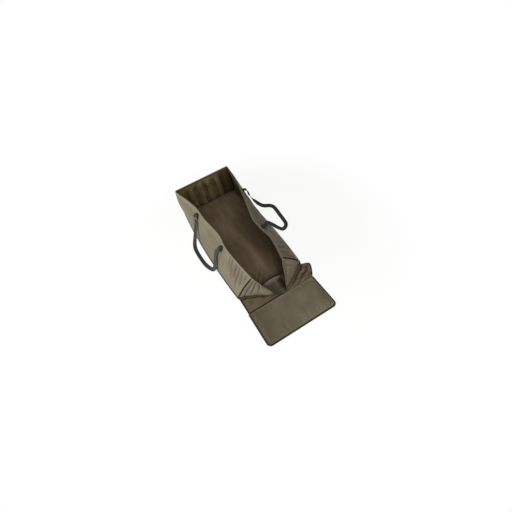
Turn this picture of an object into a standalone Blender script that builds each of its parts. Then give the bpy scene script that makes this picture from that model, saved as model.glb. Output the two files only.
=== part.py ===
"""Unhooking mat of the open cradle kind, laid out with its end flap on the ground.

A padded floor and three padded walls make a soft trough for a landed fish. The
fourth wall is plain cloth that has slumped outwards, and past it a cloth strip
carries a padded flap. Two webbing loops lie beside the walls.

The origin is the middle of the base's underside. +X runs along the mat to the
flap, +Y is to the right for someone who looks in from the flap, and +Z is up.
All sizes are in metres and all angles in degrees.
"""

import math

import bmesh
import bpy
from mathutils import Matrix, Vector

# Base
BASE_LENGTH = 1.25
BASE_WIDTH = 0.60
SIDE_BULGE = 0.026  # how far each side bows out at mid-length
GROUND_SHEET = 0.0012
SHEET_OVERHANG = 0.0015  # past the wall's seam line
FLOOR_FOAM = 0.020
FLOOR_EDGE = 0.013  # the foam where its edge is sewn down
FLOOR_ROLL = 0.060  # width over which the foam swells to its full height
FLOOR_INSET = 0.019  # from the wall's seam line to the foam
FLOOR_END_INSET = 0.016
FLOOR_NEAR_INSET = 0.020

# Walls
WALL_HEIGHT = 0.30  # cloth height from the base seam to the rim
WALL_SHELL = 0.0012
WALL_FOAM = 0.006
WALL_LINER = 0.0010
WALL_BELLY = 0.015
WALL_FOOT = 0.005  # the walls' lowest edge, up the cloth from the seam line
WALL_END_INSET = 0.018  # the side walls stop short of the near base seam
FAR_LEAN = 0.016  # how far the far wall's rim stands out past its foot
LEFT_LEAN = ((-0.625, 2), (-0.32, 21), (-0.12, 24), (0.12, 30), (0.28, 25.5), (0.42, 25), (0.61, 28.5))
RIGHT_LEAN = ((-0.625, 3), (-0.39, 10), (-0.01, 28.5), (0.13, 35.5), (0.28, 34.5), (0.42, 31), (0.61, 36))
LEFT_RUN = 0.068  # how far the rim's near end stands out past its foot
RIGHT_RUN = 0.030
RUN_START = 0.40  # where along the wall that run-out begins
PLEATS = 6
PLEAT_DEPTH = 0.009
PLEAT_SPREAD = 0.22  # share of the far wall's width over which the pleats deepen
PLEAT_STOP = 0.003  # the pleats end this far under the hem
PLEAT_RISE = 0.05  # height over which they fade there
WALL_COLUMNS = 18
WALL_ROWS = 6

# Tapes and seams
TAPE = 0.0012
HEM = 0.014
HEM_GAP = 0.0005
HEM_CLEAR = 0.002  # from a hem's leg to the row of the wall under it, and to the far wall
CORNER_TAPE = 0.012
CORNER_GAP = 0.0009
CORNER_LOW = 0.003  # from the walls' lowest edge to the corner tapes' ends
CORNER_HIGH = 0.001  # from those tapes' other ends to the hems
EDGE_GAP = 0.0009
PIPING_RADIUS = 0.0025
GAP = 0.0003
FOLD_GAP = 0.00045  # from each fold's axis to the cloth on either side

# End wall, strip and flap
END_CLOTH = 0.0012
END_TOP = 0.002  # from the side walls' rims to the end wall's two top corners
END_HEM = 0.10  # share of the end wall's outer facets that its hem covers
END_HEM_SPANS = (("left", 0.02, 0.40), ("right", 0.62, 0.98))  # shares of the rim, from the left
STRIP_LENGTH = 0.162
STRIP_CLOTH = 0.0012
STRIP_BOW = 0.056  # how far the bunched right edge bows out
BOW_SHAPE = ((0.0, 0.0), (0.12, 0.60), (0.28, 1.0), (0.50, 0.86), (0.85, 0.33), (1.0, 0.0))
BUNCH_HEIGHT = 0.034
BUNCH_PITCH = 0.055
BUNCH_CLEAR = 0.005  # from the line of the end wall's foot to the first fold
BUNCH_FLOOR = 0.24  # height between the folds, as a share of the folds' own
BUNCH_START = 0.04  # width over which the folds rise from the flat cloth
BUNCH_EDGE = 0.016  # height of the bunched cloth's bound edge
BUNCH_ROLL = 0.035  # width over which the folds come down to that edge
STRIP_COLUMNS = 26
STRIP_ROWS = 10
EDGE_TAPE = 0.009
TAPE_STOP = 0.03  # share of the strip that its edge tapes stop short of each fold
TAPE_BAND = 0.011  # level band of cloth that an edge tape lies on
FLAP_LENGTH = 0.309
FLAP_SPREAD = 0.006  # how far the flap stands out past each side of the strip
FLAP_CORNER = 0.034
FLAP_CLOTH = 0.0012
FLAP_FOAM = 0.010
FLAP_EDGE = 0.003
FLAP_ROLL = 0.035
FLAP_RINGS = (0.0, TAPE_BAND, 0.022, FLAP_CORNER, 0.050)  # distances from the flap's edges
FOLD_TAPE = 0.009
FOLD_TAPE_RIGHT = 0.03  # where the fold's tape ends, short of the bunched cloth
FOLD_TAPE_BACK = 0.005  # from the fold to the tape

# Handles
WEBBING_WIDTH = 0.036
WEBBING = 0.0024
HANDLE_SPACING = 0.49
ANCHOR_LOW = 0.222  # the anchor's two edges, up the wall's cloth
ANCHOR_HIGH = 0.262
ANCHOR_GAP = 0.0006
ARCH_RADIUS = 0.010  # bend of the webbing where it arches out of the anchor's top
ARCH_TURN = 150
ARCH_STEPS = 4
STRAP_GAP = 0.0007  # from the arch's end to the strap's
STRAP_BACK = 0.0027  # from the strap's end to the line that it turns about
STRAP_LEAD = 0.022  # length that leaves the arch straight
STRAP_STEPS = 60

HALF_LENGTH = BASE_LENGTH / 2
HALF_WIDTH = BASE_WIDTH / 2
FLAP_HALF = HALF_WIDTH + FLAP_SPREAD
CLOTH_LIFT = TAPE + GAP  # strip and flap lie on the tape that wraps their edges
WALL_HALF = WALL_FOAM / 2 + GAP + WALL_SHELL
WALL_NEAR = HALF_LENGTH - WALL_END_INSET
STRIP_START = HALF_LENGTH + 2 * FOLD_GAP
STRIP_END = STRIP_START + STRIP_LENGTH
FLAP_START = STRIP_END + 2 * FOLD_GAP
FLAP_END = FLAP_START + FLAP_LENGTH
LEFT, RIGHT = -1, 1

# Routes of the two straps between their ends. Each point is along the mat, out
# past the side of the base, and up. The direction of the webbing's width there
# is given in the same way.
LEFT_ROUTE = (
    ((-0.236, -0.031, 0.217), (1, -0.1, 0)),
    ((-0.219, -0.018, 0.190), (1, -0.3, 0)),
    ((-0.203, 0.005, 0.150), (1, -0.6, 0)),
    ((-0.182, 0.033, 0.105), (1, -0.7, 0)),
    ((-0.160, 0.062, 0.060), (1, -0.6, 0.2)),
    ((-0.130, 0.085, 0.034), (0.8, -0.2, 0.8)),
    ((-0.087, 0.098, 0.022), (0.2, 0.1, 1)),
    ((-0.029, 0.101, 0.013), (0, 1, 0.35)),
    ((0.053, 0.099, 0.009), (0, 1, 0.2)),
    ((0.129, 0.091, 0.009), (0, 1, 0.2)),
    ((0.194, 0.074, 0.013), (-0.3, 1, 0.2)),
    ((0.233, 0.056, 0.024), (-0.8, 1, 0.1)),
    ((0.241, 0.037, 0.052), (-1, 0.5, 0)),
    ((0.227, 0.014, 0.095), (-1, 0.3, 0)),
    ((0.210, -0.009, 0.145), (-1, 0.1, 0)),
    ((0.207, -0.029, 0.190), (-1, 0, 0)),
    ((0.224, -0.041, 0.214), (-1, 0, 0)),
)
RIGHT_ROUTE = (
    ((-0.225, -0.003, 0.224), (1, 0.1, 0)),
    ((-0.203, -0.003, 0.198), (1, 0.2, 0)),
    ((-0.184, 0.008, 0.168), (1, 0.4, 0)),
    ((-0.165, 0.026, 0.138), (1, 0.5, 0)),
    ((-0.145, 0.052, 0.100), (1, 0.3, 0)),
    ((-0.134, 0.080, 0.071), (1, -0.1, 0.2)),
    ((-0.127, 0.112, 0.052), (1, -0.1, 0.4)),
    ((-0.115, 0.150, 0.040), (0.8, -0.1, 0.8)),
    ((-0.083, 0.173, 0.030), (0.3, 0.4, 1)),
    ((-0.026, 0.173, 0.024), (0, 1, 0.7)),
    ((0.036, 0.169, 0.017), (0, 1, 0.4)),
    ((0.104, 0.164, 0.012), (0, 1, 0.3)),
    ((0.166, 0.152, 0.016), (-0.4, 1, 0.2)),
    ((0.204, 0.120, 0.021), (-1, 0.6, 0.1)),
    ((0.212, 0.083, 0.026), (-1, 0.5, 0.1)),
    ((0.197, 0.050, 0.056), (-1, 0.8, 0.3)),
    ((0.184, 0.011, 0.108), (-0.8, 0.7, 0.4)),
    ((0.180, -0.027, 0.160), (-1, 0.5, 0.3)),
    ((0.191, -0.052, 0.190), (-1, 0.2, 0.1)),
    ((0.215, -0.064, 0.204), (-1, 0, 0)),
    ((0.234, -0.074, 0.213), (-1, 0, 0)),
)

# The slumped end wall: rows from its foot seam over the strip to its rim. Each
# point is past the base's near edge, across from the mat's middle, and up. The
# two ends of each row run up the near corners and come from the walls.
END_WALL_ROWS = (
    ((-0.011, -0.240, 0.004), (-0.011, -0.170, 0.004), (-0.011, -0.100, 0.004), (-0.011, -0.035, 0.004),
     (-0.011, 0.040, 0.004), (-0.011, 0.105, 0.004), (-0.011, 0.170, 0.004), (-0.011, 0.240, 0.004)),
    ((0.001, -0.238, 0.007), (0.009, -0.168, 0.012), (0.015, -0.098, 0.024), (0.017, -0.034, 0.034),
     (0.018, 0.042, 0.036), (0.017, 0.102, 0.028), (0.013, 0.168, 0.014), (0.005, 0.238, 0.008)),
    ((0.015, -0.236, 0.008), (0.039, -0.166, 0.009), (0.065, -0.097, 0.012), (0.081, -0.032, 0.017),
     (0.087, 0.044, 0.018), (0.079, 0.100, 0.014), (0.057, 0.166, 0.009), (0.027, 0.236, 0.008)),
    ((0.023, -0.232, 0.016), (0.055, -0.162, 0.016), (0.097, -0.093, 0.014), (0.127, -0.030, 0.010),
     (0.135, 0.046, 0.010), (0.117, 0.100, 0.014), (0.079, 0.164, 0.016), (0.037, 0.232, 0.016)),
    ((0.053, -0.176, 0.120), (0.077, -0.132, 0.090), (0.109, -0.084, 0.056), (0.137, -0.028, 0.013),
     (0.145, 0.048, 0.013), (0.125, 0.084, 0.052), (0.091, 0.126, 0.088), (0.051, 0.165, 0.118)),
    ((0.075, -0.130, 0.205), (0.094, -0.106, 0.152), (0.118, -0.074, 0.098), (0.146, -0.026, 0.015),
     (0.154, 0.050, 0.015), (0.132, 0.070, 0.075), (0.099, 0.088, 0.135), (0.059, 0.104, 0.192)),
)
END_WALL_SEAM_SHARES = (0.0, 0.035, 0.07, 0.13, 0.56, 1.0)  # of the corner seam, row by row
BUNCH_FROM = Vector((STRIP_START, HALF_WIDTH))  # the bunched cloth starts past this line
BUNCH_TO = Vector((STRIP_END, 0.052))

OLIVE = ("olive coated polyester", "57513F", 0.55, 0.0)
DARK_OLIVE = ("dark olive lining", "453E30", 0.60, 0.0)
FLOOR_BROWN = ("soft brown floor lining", "4A4234", 0.70, 0.0)
STRIP_BROWN = ("thin brown cloth", "52452F", 0.60, 0.0)
BLACK_TAPE = ("black binding tape", "26272A", 0.75, 0.0)
GREY_WEBBING = ("grey webbing", "3D3E3B", 0.80, 0.0)
FOAM = ("grey closed-cell foam", "77787A", 0.90, 0.0)
UNDERSIDE = ("black ground sheet", "2B2B29", 0.50, 0.0)


def clear_scene():
    """Remove every object that is already in the file."""
    for item in list(bpy.data.objects):
        bpy.data.objects.remove(item)


def finish_of(finish):
    """Return the material for a finish, made on first use."""
    name, code, roughness, metallic = finish
    found = bpy.data.materials.get(name)
    if found:
        return found
    material = bpy.data.materials.new(name)
    material.use_nodes = True
    shader = material.node_tree.nodes["Principled BSDF"]
    levels = [int(code[i:i + 2], 16) / 255 for i in (0, 2, 4)]
    linear = [v / 12.92 if v <= 0.04045 else ((v + 0.055) / 1.055) ** 2.4 for v in levels]
    shader.inputs["Base Color"].default_value = (*linear, 1)
    shader.inputs["Roughness"].default_value = roughness
    shader.inputs["Metallic"].default_value = metallic
    return material


def add_piece(name, bm, finish, pivot=None):
    """Turn a bmesh in world coordinates into a named object, hung on a pivot if given."""
    mesh = bpy.data.meshes.new(name)
    bm.to_mesh(mesh)
    bm.free()
    piece = bpy.data.objects.new(name, mesh)
    COLLECTION.objects.link(piece)
    mesh.materials.append(finish_of(finish))
    if pivot:
        mesh.transform(Matrix.Translation(-pivot.location))
        piece.parent = pivot
    return piece


def add_pivot(name, place):
    """Add an empty on a joint's axis, which carries the pieces that turn there."""
    pivot = bpy.data.objects.new(name, None)
    pivot.location = place
    pivot.empty_display_size = 0.05
    COLLECTION.objects.link(pivot)
    return pivot


def flat_grid(along, across):
    """A unit grid of triangles, whose diagonals all run the same way."""
    bm = bmesh.new()
    bmesh.ops.create_grid(bm, x_segments=along, y_segments=across, size=0.5)
    bmesh.ops.triangulate(bm, faces=bm.faces[:], quad_method="FIXED")
    return bm


def cloth(name, place, along, across, thickness, finish, pivot=None):
    """A sheet whose mid-surface is place(u, w), with u and w from 0 to 1."""
    bm = flat_grid(along, across)
    for vert in bm.verts:
        vert.co = place(vert.co.x + 0.5, vert.co.y + 0.5)
    piece = add_piece(name, bm, finish, pivot)
    shell = piece.modifiers.new("Thickness", "SOLIDIFY")
    shell.thickness = thickness
    shell.offset = 0
    return piece


def pad(name, lower, upper, along, across, finish, pivot=None):
    """A closed pad between a lower and an upper surface over the same outline."""
    bm = flat_grid(along, across)
    spots = {vert: (vert.co.x + 0.5, vert.co.y + 0.5) for vert in bm.verts}
    top = bmesh.ops.extrude_face_region(bm, geom=bm.faces[:], use_keep_orig=True)
    raised = [item for item in top["geom"] if isinstance(item, bmesh.types.BMVert)]
    for vert in raised:
        vert.co = upper(vert.co.x + 0.5, vert.co.y + 0.5)
    for vert, (u, w) in spots.items():
        vert.co = lower(u, w)
    bmesh.ops.recalc_face_normals(bm, faces=bm.faces[:])
    return add_piece(name, bm, finish, pivot)


def mix(a, b, share):
    """Straight mix of two values."""
    return a + (b - a) * share


def ease(share):
    """Smooth step from 0 to 1."""
    share = min(max(share, 0.0), 1.0)
    return share * share * (3 - 2 * share)


def through(points, share):
    """Smooth curve through evenly counted points, at a share from 0 to 1."""
    last = len(points) - 1
    index = min(int(share * last), last - 1)
    t = share * last - index
    p1, p2 = points[index], points[index + 1]
    p0 = points[index - 1] if index > 0 else p1 * 2 - p2
    p3 = points[index + 2] if index + 2 <= last else p2 * 2 - p1
    return (p1 * 2 + (p2 - p0) * t + (p0 * 2 - p1 * 5 + p2 * 4 - p3) * t * t
            + (p1 * 3 - p0 - p2 * 3 + p3) * t * t * t) * 0.5


def through_knots(knots, x):
    """Smooth value through (x, value) knots that need not be evenly spaced."""
    x = min(max(x, knots[0][0]), knots[-1][0])
    slopes = []
    for i in range(len(knots)):
        a = knots[max(i - 1, 0)]
        b = knots[min(i + 1, len(knots) - 1)]
        slopes.append((b[1] - a[1]) / (b[0] - a[0]))
    for i in range(len(knots) - 1):
        (xa, va), (xb, vb) = knots[i], knots[i + 1]
        if x <= xb:
            break
    span = xb - xa
    t = (x - xa) / span
    return ((2 * t ** 3 - 3 * t * t + 1) * va + (t ** 3 - 2 * t * t + t) * span * slopes[i]
            + (3 * t * t - 2 * t ** 3) * vb + (t ** 3 - t * t) * span * slopes[i + 1])


def corners(points, share):
    """Straight runs between points, which keeps a folded tape's corners."""
    last = len(points) - 1
    index = min(int(round(share * last, 6)), last - 1)
    t = share * last - index
    return [mix(a, b, t) for a, b in zip(points[index], points[index + 1])]


# Base


def half_width(x):
    """Half the base's width where the wall is sewn on."""
    return HALF_WIDTH + SIDE_BULGE * (1 - (x / HALF_LENGTH) ** 2)


def base_place(u, w, end_far, end_near, inset, z):
    """Point of a layer whose outline lies inside the wall's seam line."""
    x = mix(-HALF_LENGTH + end_far, HALF_LENGTH - end_near, u)
    return Vector((x, (2 * w - 1) * (half_width(x) - inset), z))


def floor_height(u, w):
    """Height of the floor foam, rolled off towards its sewn edges."""
    x_edge = min(u, 1 - u) * BASE_LENGTH
    y_edge = min(w, 1 - w) * BASE_WIDTH
    swell = ease(x_edge / FLOOR_ROLL) * ease(y_edge / FLOOR_ROLL)
    return mix(FLOOR_EDGE, FLOOR_FOAM, swell)


def near_edges(share, count, edge):
    """Shift even stations so that one station ring lies at a given share from each edge."""
    step = share * count
    if step <= 1:
        return edge * step
    if step >= count - 1:
        return 1 - edge * (count - step)
    return mix(edge, 1 - edge, (step - 1) / (count - 2))


def build_floor():
    """Ground sheet, foam and soft lining of the floor."""
    along, across = 18, 8

    def sheet(u, w):
        return base_place(u, w, -SHEET_OVERHANG, 0, -SHEET_OVERHANG, GROUND_SHEET / 2)

    def layer(u, w, z):
        u = near_edges(u, along, FLOOR_ROLL / BASE_LENGTH)
        w = near_edges(w, across, FLOOR_ROLL / BASE_WIDTH)
        return base_place(u, w, FLOOR_END_INSET, FLOOR_NEAR_INSET, FLOOR_INSET, z(u, w))

    bottom = GROUND_SHEET + GAP
    cloth("ground_sheet", sheet, along, 2, GROUND_SHEET, UNDERSIDE)
    pad("floor_foam", lambda u, w: layer(u, w, lambda a, b: bottom),
        lambda u, w: layer(u, w, lambda a, b: bottom + floor_height(a, b)), along, across, FOAM)
    lining = bottom + GAP + WALL_LINER / 2
    cloth("floor_lining", lambda u, w: layer(u, w, lambda a, b: lining + floor_height(a, b)),
          along, across, WALL_LINER, FLOOR_BROWN)


# Walls


def wall_point(side, x, rise, depth):
    """Point of a side wall, a length up its cloth and a depth out of its mid-surface."""
    lean = math.radians(through_knots(LEFT_LEAN if side == LEFT else RIGHT_LEAN, x))
    run = LEFT_RUN if side == LEFT else RIGHT_RUN
    out = Vector((0, side * math.cos(lean), math.sin(lean)))
    up = Vector((0, -side * math.sin(lean), math.cos(lean)))
    share = rise / WALL_HEIGHT
    foot = Vector((x, side * half_width(min(max(x, -HALF_LENGTH), HALF_LENGTH)), 0))
    run_out = run * share * ease((x - RUN_START) / (WALL_NEAR - RUN_START))
    belly = WALL_BELLY * math.sin(math.pi * min(share, 1.0))
    return foot + up * rise + out * (belly + depth) + Vector((run_out, 0, 0))


def far_point(share, rise, depth):
    """Point of the far wall, at a share of its width from left to right."""
    x = -HALF_LENGTH - FAR_LEAN * rise / WALL_HEIGHT - depth
    inner = -HALF_LENGTH + WALL_HALF
    clear = -WALL_HALF - HEM_GAP
    low = wall_point(LEFT, inner, rise, clear)
    high = wall_point(RIGHT, inner, rise, clear)
    return Vector((x, mix(low.y, high.y, share), mix(low.z, high.z, share)))


def layers():
    """Each wall layer's name ending, its mid depth, its thickness and its finish."""
    shell = WALL_FOAM / 2 + GAP + WALL_SHELL / 2
    liner = -WALL_FOAM / 2 - GAP - WALL_LINER / 2
    return (("shell", shell, WALL_SHELL, OLIVE), ("foam", 0.0, WALL_FOAM, FOAM),
            ("lining", liner, WALL_LINER, DARK_OLIVE))


def wall_station(u):
    """Where along the mat a side wall's station lies, for u from 0 to 1."""
    return mix(-HALF_LENGTH - WALL_HALF, WALL_NEAR, u)


def wall_rows():
    """How far up the cloth a wall's rows lie: even rows, then one under the hem."""
    even = [mix(WALL_FOOT, WALL_HEIGHT, i / (WALL_ROWS - 1)) for i in range(WALL_ROWS - 1)]
    return even + [WALL_HEIGHT - HEM - HEM_CLEAR, WALL_HEIGHT]


def wall_rise(w):
    """How far up the cloth the row at w lies, for w from 0 to 1."""
    return wall_rows()[round(w * WALL_ROWS)]


def wall_facet(side, x, rise, depth):
    """Point of a side wall as built, straight from one station and row to the next."""
    step = (x - wall_station(0)) / (wall_station(1) - wall_station(0)) * WALL_COLUMNS
    index = min(int(step), WALL_COLUMNS - 1)
    rows = wall_rows()
    row = max(i for i in range(WALL_ROWS) if i == 0 or rows[i] <= rise)
    low, high = rows[row], rows[row + 1]
    ends = []
    for station in (index, index + 1):
        foot = wall_point(side, wall_station(station / WALL_COLUMNS), low, depth)
        head = wall_point(side, wall_station(station / WALL_COLUMNS), high, depth)
        ends.append(foot.lerp(head, (rise - low) / (high - low)))
    return ends[0].lerp(ends[1], step - index)


def past_near_edge(side, rise, depth, along):
    """Point a short way past a side wall's near edge, or behind it."""
    edge = wall_point(side, WALL_NEAR, rise, depth)
    before = wall_point(side, wall_station(1 - 1 / WALL_COLUMNS), rise, depth)
    return edge + (edge - before).normalized() * along


def pleat(share, rise):
    """How far the far lining stands in from the foam at its gathers."""
    middle = ease(min(share, 1 - share) / PLEAT_SPREAD)
    waves = 0.5 - 0.5 * math.cos(2 * math.pi * PLEATS * share)
    top = ease((WALL_HEIGHT - HEM - PLEAT_STOP - rise) / PLEAT_RISE)
    return PLEAT_DEPTH * middle * waves * top


def build_walls():
    """Three layers each for the side walls and the far wall."""
    for name, side in (("left", LEFT), ("right", RIGHT)):
        for ending, depth, thickness, finish in layers():
            def place(u, w, side=side, depth=depth):
                return wall_point(side, wall_station(u), wall_rise(w), depth)
            cloth(f"{name}_wall_{ending}", place, WALL_COLUMNS, WALL_ROWS, thickness, finish)
    for ending, depth, thickness, finish in layers():
        gathered = ending == "lining"

        def place(u, w, depth=depth, gathered=gathered):
            rise = wall_rise(w)
            return far_point(u, rise, depth - (pleat(u, rise) if gathered else 0))
        cloth(f"far_wall_{ending}", place, 6 * PLEATS if gathered else 8, WALL_ROWS, thickness, finish)


def folded(reach, gap, leg):
    """Section of a tape folded over an edge: (out of the layers, along them) points."""
    side = reach + gap + TAPE / 2
    top = gap + TAPE
    return ((side, -leg), (side, gap), (side * 0.8, top), (-side * 0.8, top), (-side, gap), (-side, -leg))


def build_hems():
    """Cloth folded over the three rims."""
    section = folded(WALL_HALF, HEM_GAP, HEM)
    first = -HALF_LENGTH + WALL_HALF + HEM_CLEAR
    for name, side in (("left", LEFT), ("right", RIGHT)):
        def place(u, w, side=side):
            depth, rise = corners(section, w)
            return wall_facet(side, max(first, wall_station(u)), WALL_HEIGHT + rise, depth)
        cloth(f"{name}_rim_hem", place, WALL_COLUMNS, 5, TAPE, OLIVE)

    def far_place(u, w):
        depth, rise = corners(section, w)
        return far_point(u, WALL_HEIGHT + rise, depth)
    cloth("far_rim_hem", far_place, 8, 5, TAPE, OLIVE)


def build_corner_tapes():
    """Tape round the side walls' near ends, and in the two far inside corners."""
    section = folded(WALL_HALF, CORNER_GAP, CORNER_TAPE)
    lowest = WALL_FOOT + CORNER_LOW
    highest = WALL_HEIGHT - HEM - CORNER_HIGH
    inside = -HALF_LENGTH + WALL_HALF
    off = CORNER_GAP + TAPE / 2
    for name, side in (("left", LEFT), ("right", RIGHT)):
        def near_place(u, w, side=side):
            depth, along = corners(section, w)
            rise = min(max(wall_rise(u), lowest), highest)
            return past_near_edge(side, rise, depth, along)

        def far_place(u, w, side=side):
            rise = min(max(wall_rise(u), lowest), highest)
            x = inside + off - FAR_LEAN * rise / WALL_HEIGHT
            corner = wall_facet(side, x, rise, -WALL_HALF - off)
            on_side = wall_facet(side, x + CORNER_TAPE, rise, -WALL_HALF - off)
            on_far = corner - Vector((0, side * CORNER_TAPE, 0))
            return Vector(corners((on_side, corner, on_far), w))
        cloth(f"near_{name}_corner_tape", near_place, WALL_ROWS, 5, TAPE, BLACK_TAPE)
        cloth(f"far_{name}_corner_tape", far_place, WALL_ROWS, 2, TAPE, BLACK_TAPE)


def build_piping():
    """The welt in the seam between the walls and the ground sheet."""
    out = WALL_HALF + PIPING_RADIUS + 2 * GAP
    height = PIPING_RADIUS + GAP
    far_x = -HALF_LENGTH - out
    bend = PIPING_RADIUS + 0.0012
    path = []
    for i in range(WALL_COLUMNS + 1):
        x = mix(WALL_NEAR, far_x + bend, i / WALL_COLUMNS)
        path.append((x, -half_width(max(x, -HALF_LENGTH)) - out))
    side_y = path[-1][1]
    for degrees in (45, 90):
        angle = math.radians(degrees)
        path.append((far_x + bend * (1 - math.sin(angle)), side_y + bend * (1 - math.cos(angle))))
    path += [(x, -y) for x, y in reversed(path)]
    data = bpy.data.curves.new("base_piping", "CURVE")
    data.dimensions = "3D"
    data.bevel_depth = PIPING_RADIUS
    data.bevel_resolution = 1
    data.use_fill_caps = True
    spline = data.splines.new("POLY")
    spline.points.add(len(path) - 1)
    for point, (x, y) in zip(spline.points, path):
        point.co = (x, y, height, 1)
    guide = bpy.data.objects.new("piping_guide", data)
    COLLECTION.objects.link(guide)
    mesh = bpy.data.meshes.new_from_object(guide.evaluated_get(bpy.context.evaluated_depsgraph_get()))
    bpy.data.objects.remove(guide)
    bm = bmesh.new()
    bm.from_mesh(mesh)
    bmesh.ops.remove_doubles(bm, verts=bm.verts[:], dist=0.00001)
    add_piece("base_piping", bm, BLACK_TAPE)


# End wall, strip and flap


def end_wall_row(index):
    """One whole row of the end wall, with its two ends on the corner seams."""
    share = END_WALL_SEAM_SHARES[index]
    rise = mix(WALL_FOOT, WALL_HEIGHT - END_TOP, share)
    ends = []
    for side in (LEFT, RIGHT):
        ends.append(past_near_edge(side, rise, 0, CORNER_GAP + 3 * TAPE))
    middle = [Vector((HALF_LENGTH + past, across, up)) for past, across, up in END_WALL_ROWS[index]]
    return [ends[0]] + middle + [ends[1]]


def end_wall_point(rows, u, w):
    """Point of the end wall, u across from the left corner, w up the cloth."""
    return through([through(row, u) for row in rows], w)


def end_wall_normal(rows, u, w):
    """Direction out of the end wall's cloth."""
    step = 0.004
    across = end_wall_point(rows, min(u + step, 1), w) - end_wall_point(rows, max(u - step, 0), w)
    along = end_wall_point(rows, u, min(w + step, 1)) - end_wall_point(rows, u, max(w - step, 0))
    return across.cross(along).normalized()


def build_end_wall():
    """The slumped cloth wall at the near end, and the tape behind its rim."""
    rows = [end_wall_row(i) for i in range(len(END_WALL_ROWS))]
    cloth("end_wall", lambda u, w: end_wall_point(rows, u, w), 27, 15, END_CLOTH, OLIVE)
    off = END_CLOTH / 2 + EDGE_GAP + TAPE / 2
    for name, start, end in END_HEM_SPANS:
        def hem(u, w, start=start, end=end):
            u = mix(start, end, u)
            w = mix(1 - END_HEM, 0.995, w)
            return end_wall_point(rows, u, w) + end_wall_normal(rows, u, w) * off
        cloth(f"end_wall_{name}_hem", hem, 10, 1, TAPE, DARK_OLIVE)


def strip_right(w):
    """Where the strip's right edge lies, bowed out where the cloth is bunched."""
    return HALF_WIDTH + STRIP_BOW * through_knots(BOW_SHAPE, w)


def bunch(x, y, w):
    """Height of the bunched folds at the strip's right side, with a level band at the edge."""
    band = TAPE_BAND / STRIP_LENGTH
    line = (BUNCH_TO - BUNCH_FROM).normalized()
    past = (x - BUNCH_FROM.x) * -line.y + (y - BUNCH_FROM.y) * line.x - BUNCH_CLEAR
    swing = 0.5 - 0.5 * math.cos(2 * math.pi * past / BUNCH_PITCH)
    folds = mix(BUNCH_FLOOR, 1, swing)
    arch = max(math.sin(math.pi * min(max((w - band) / (1 - 2 * band), 0), 1) ** 0.8), 0)
    inner = BUNCH_HEIGHT * ease(past / BUNCH_START) * folds * arch ** 0.7
    return mix(BUNCH_EDGE * arch, inner, ease((strip_right(w) - y - TAPE_BAND) / BUNCH_ROLL))


def strip_point(u, w):
    """Point of the strip, u from left to right, w from the base seam to the fold."""
    w = near_edges(w, STRIP_ROWS, TAPE_BAND / STRIP_LENGTH)
    x = mix(STRIP_START, STRIP_END, w)
    right = strip_right(w)
    u = near_edges(u, STRIP_COLUMNS, TAPE_BAND / (HALF_WIDTH + right))
    y = mix(-HALF_WIDTH, right, u)
    return Vector((x, y, CLOTH_LIFT + STRIP_CLOTH / 2 + bunch(x, y, w)))


def build_strip():
    """The cloth strip between base and flap, with its edge tapes and its fold tape."""
    pivot = add_pivot("strip_hinge", Vector((HALF_LENGTH + FOLD_GAP, 0, GROUND_SHEET / 2)))
    cloth("strip_cloth", strip_point, STRIP_COLUMNS, STRIP_ROWS, STRIP_CLOTH, STRIP_BROWN, pivot)
    side = STRIP_CLOTH / 2 + GAP + TAPE / 2
    out = EDGE_GAP + TAPE
    section = ((-EDGE_TAPE, -side), (EDGE_GAP, -side), (out, -side / 2), (out, side / 2), (EDGE_GAP, side),
               (-EDGE_TAPE, side))
    for name, edge in (("left", 0), ("right", 1)):
        def place(u, w, edge=edge):
            along = min(max(u, TAPE_STOP), 1 - TAPE_STOP)
            reach, lift = corners(section, w)
            on_edge = strip_point(edge, along)
            return on_edge + Vector((0, (2 * edge - 1) * reach, lift))
        cloth(f"strip_{name}_tape", place, STRIP_ROWS, 5, TAPE, BLACK_TAPE, pivot)

    def fold(u, w):
        x = STRIP_END - FOLD_TAPE_BACK - mix(FOLD_TAPE, 0, w)
        lift = CLOTH_LIFT + STRIP_CLOTH + TAPE / 2 + 2 * GAP
        return Vector((x, mix(-HALF_WIDTH + TAPE_BAND, FOLD_TAPE_RIGHT, u), lift))
    cloth("fold_tape", fold, 8, 1, TAPE, BLACK_TAPE, pivot)
    return pivot


def flap_stations(length, middle):
    """Distances from one edge of the flap to the other, closer together near both."""
    first, last = FLAP_RINGS[-1], length - FLAP_RINGS[-1]
    inner = [mix(first, last, i / middle) for i in range(1, middle)]
    return list(FLAP_RINGS) + inner + [length - r for r in reversed(FLAP_RINGS)]


def flap_spot(x, y):
    """Move a point of the flap's rectangle so that its two outer corners are round."""
    past_x = (x - (FLAP_LENGTH - FLAP_CORNER)) / FLAP_CORNER
    past_y = (abs(y) - (FLAP_HALF - FLAP_CORNER)) / FLAP_CORNER
    if past_x > 0 and past_y > 0:
        reach = max(past_x, past_y)
        turn = math.radians(45) * min(past_x, past_y) / reach
        across, ahead = math.sin(turn), math.cos(turn)
        if past_x < past_y:
            across, ahead = ahead, across
        x += (reach * ahead - past_x) * FLAP_CORNER
        y = math.copysign(FLAP_HALF + (reach * across - 1) * FLAP_CORNER, y)
    return FLAP_START + x, y


def flap_swell(x, y):
    """Height of the flap's foam, thin where its edges are sewn and bound."""
    share = 1.0
    for reach in (FLAP_LENGTH - x, FLAP_HALF - abs(y), x):
        share *= ease((reach - TAPE_BAND) / FLAP_ROLL)
    return mix(FLAP_EDGE, FLAP_FOAM, share)


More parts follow.
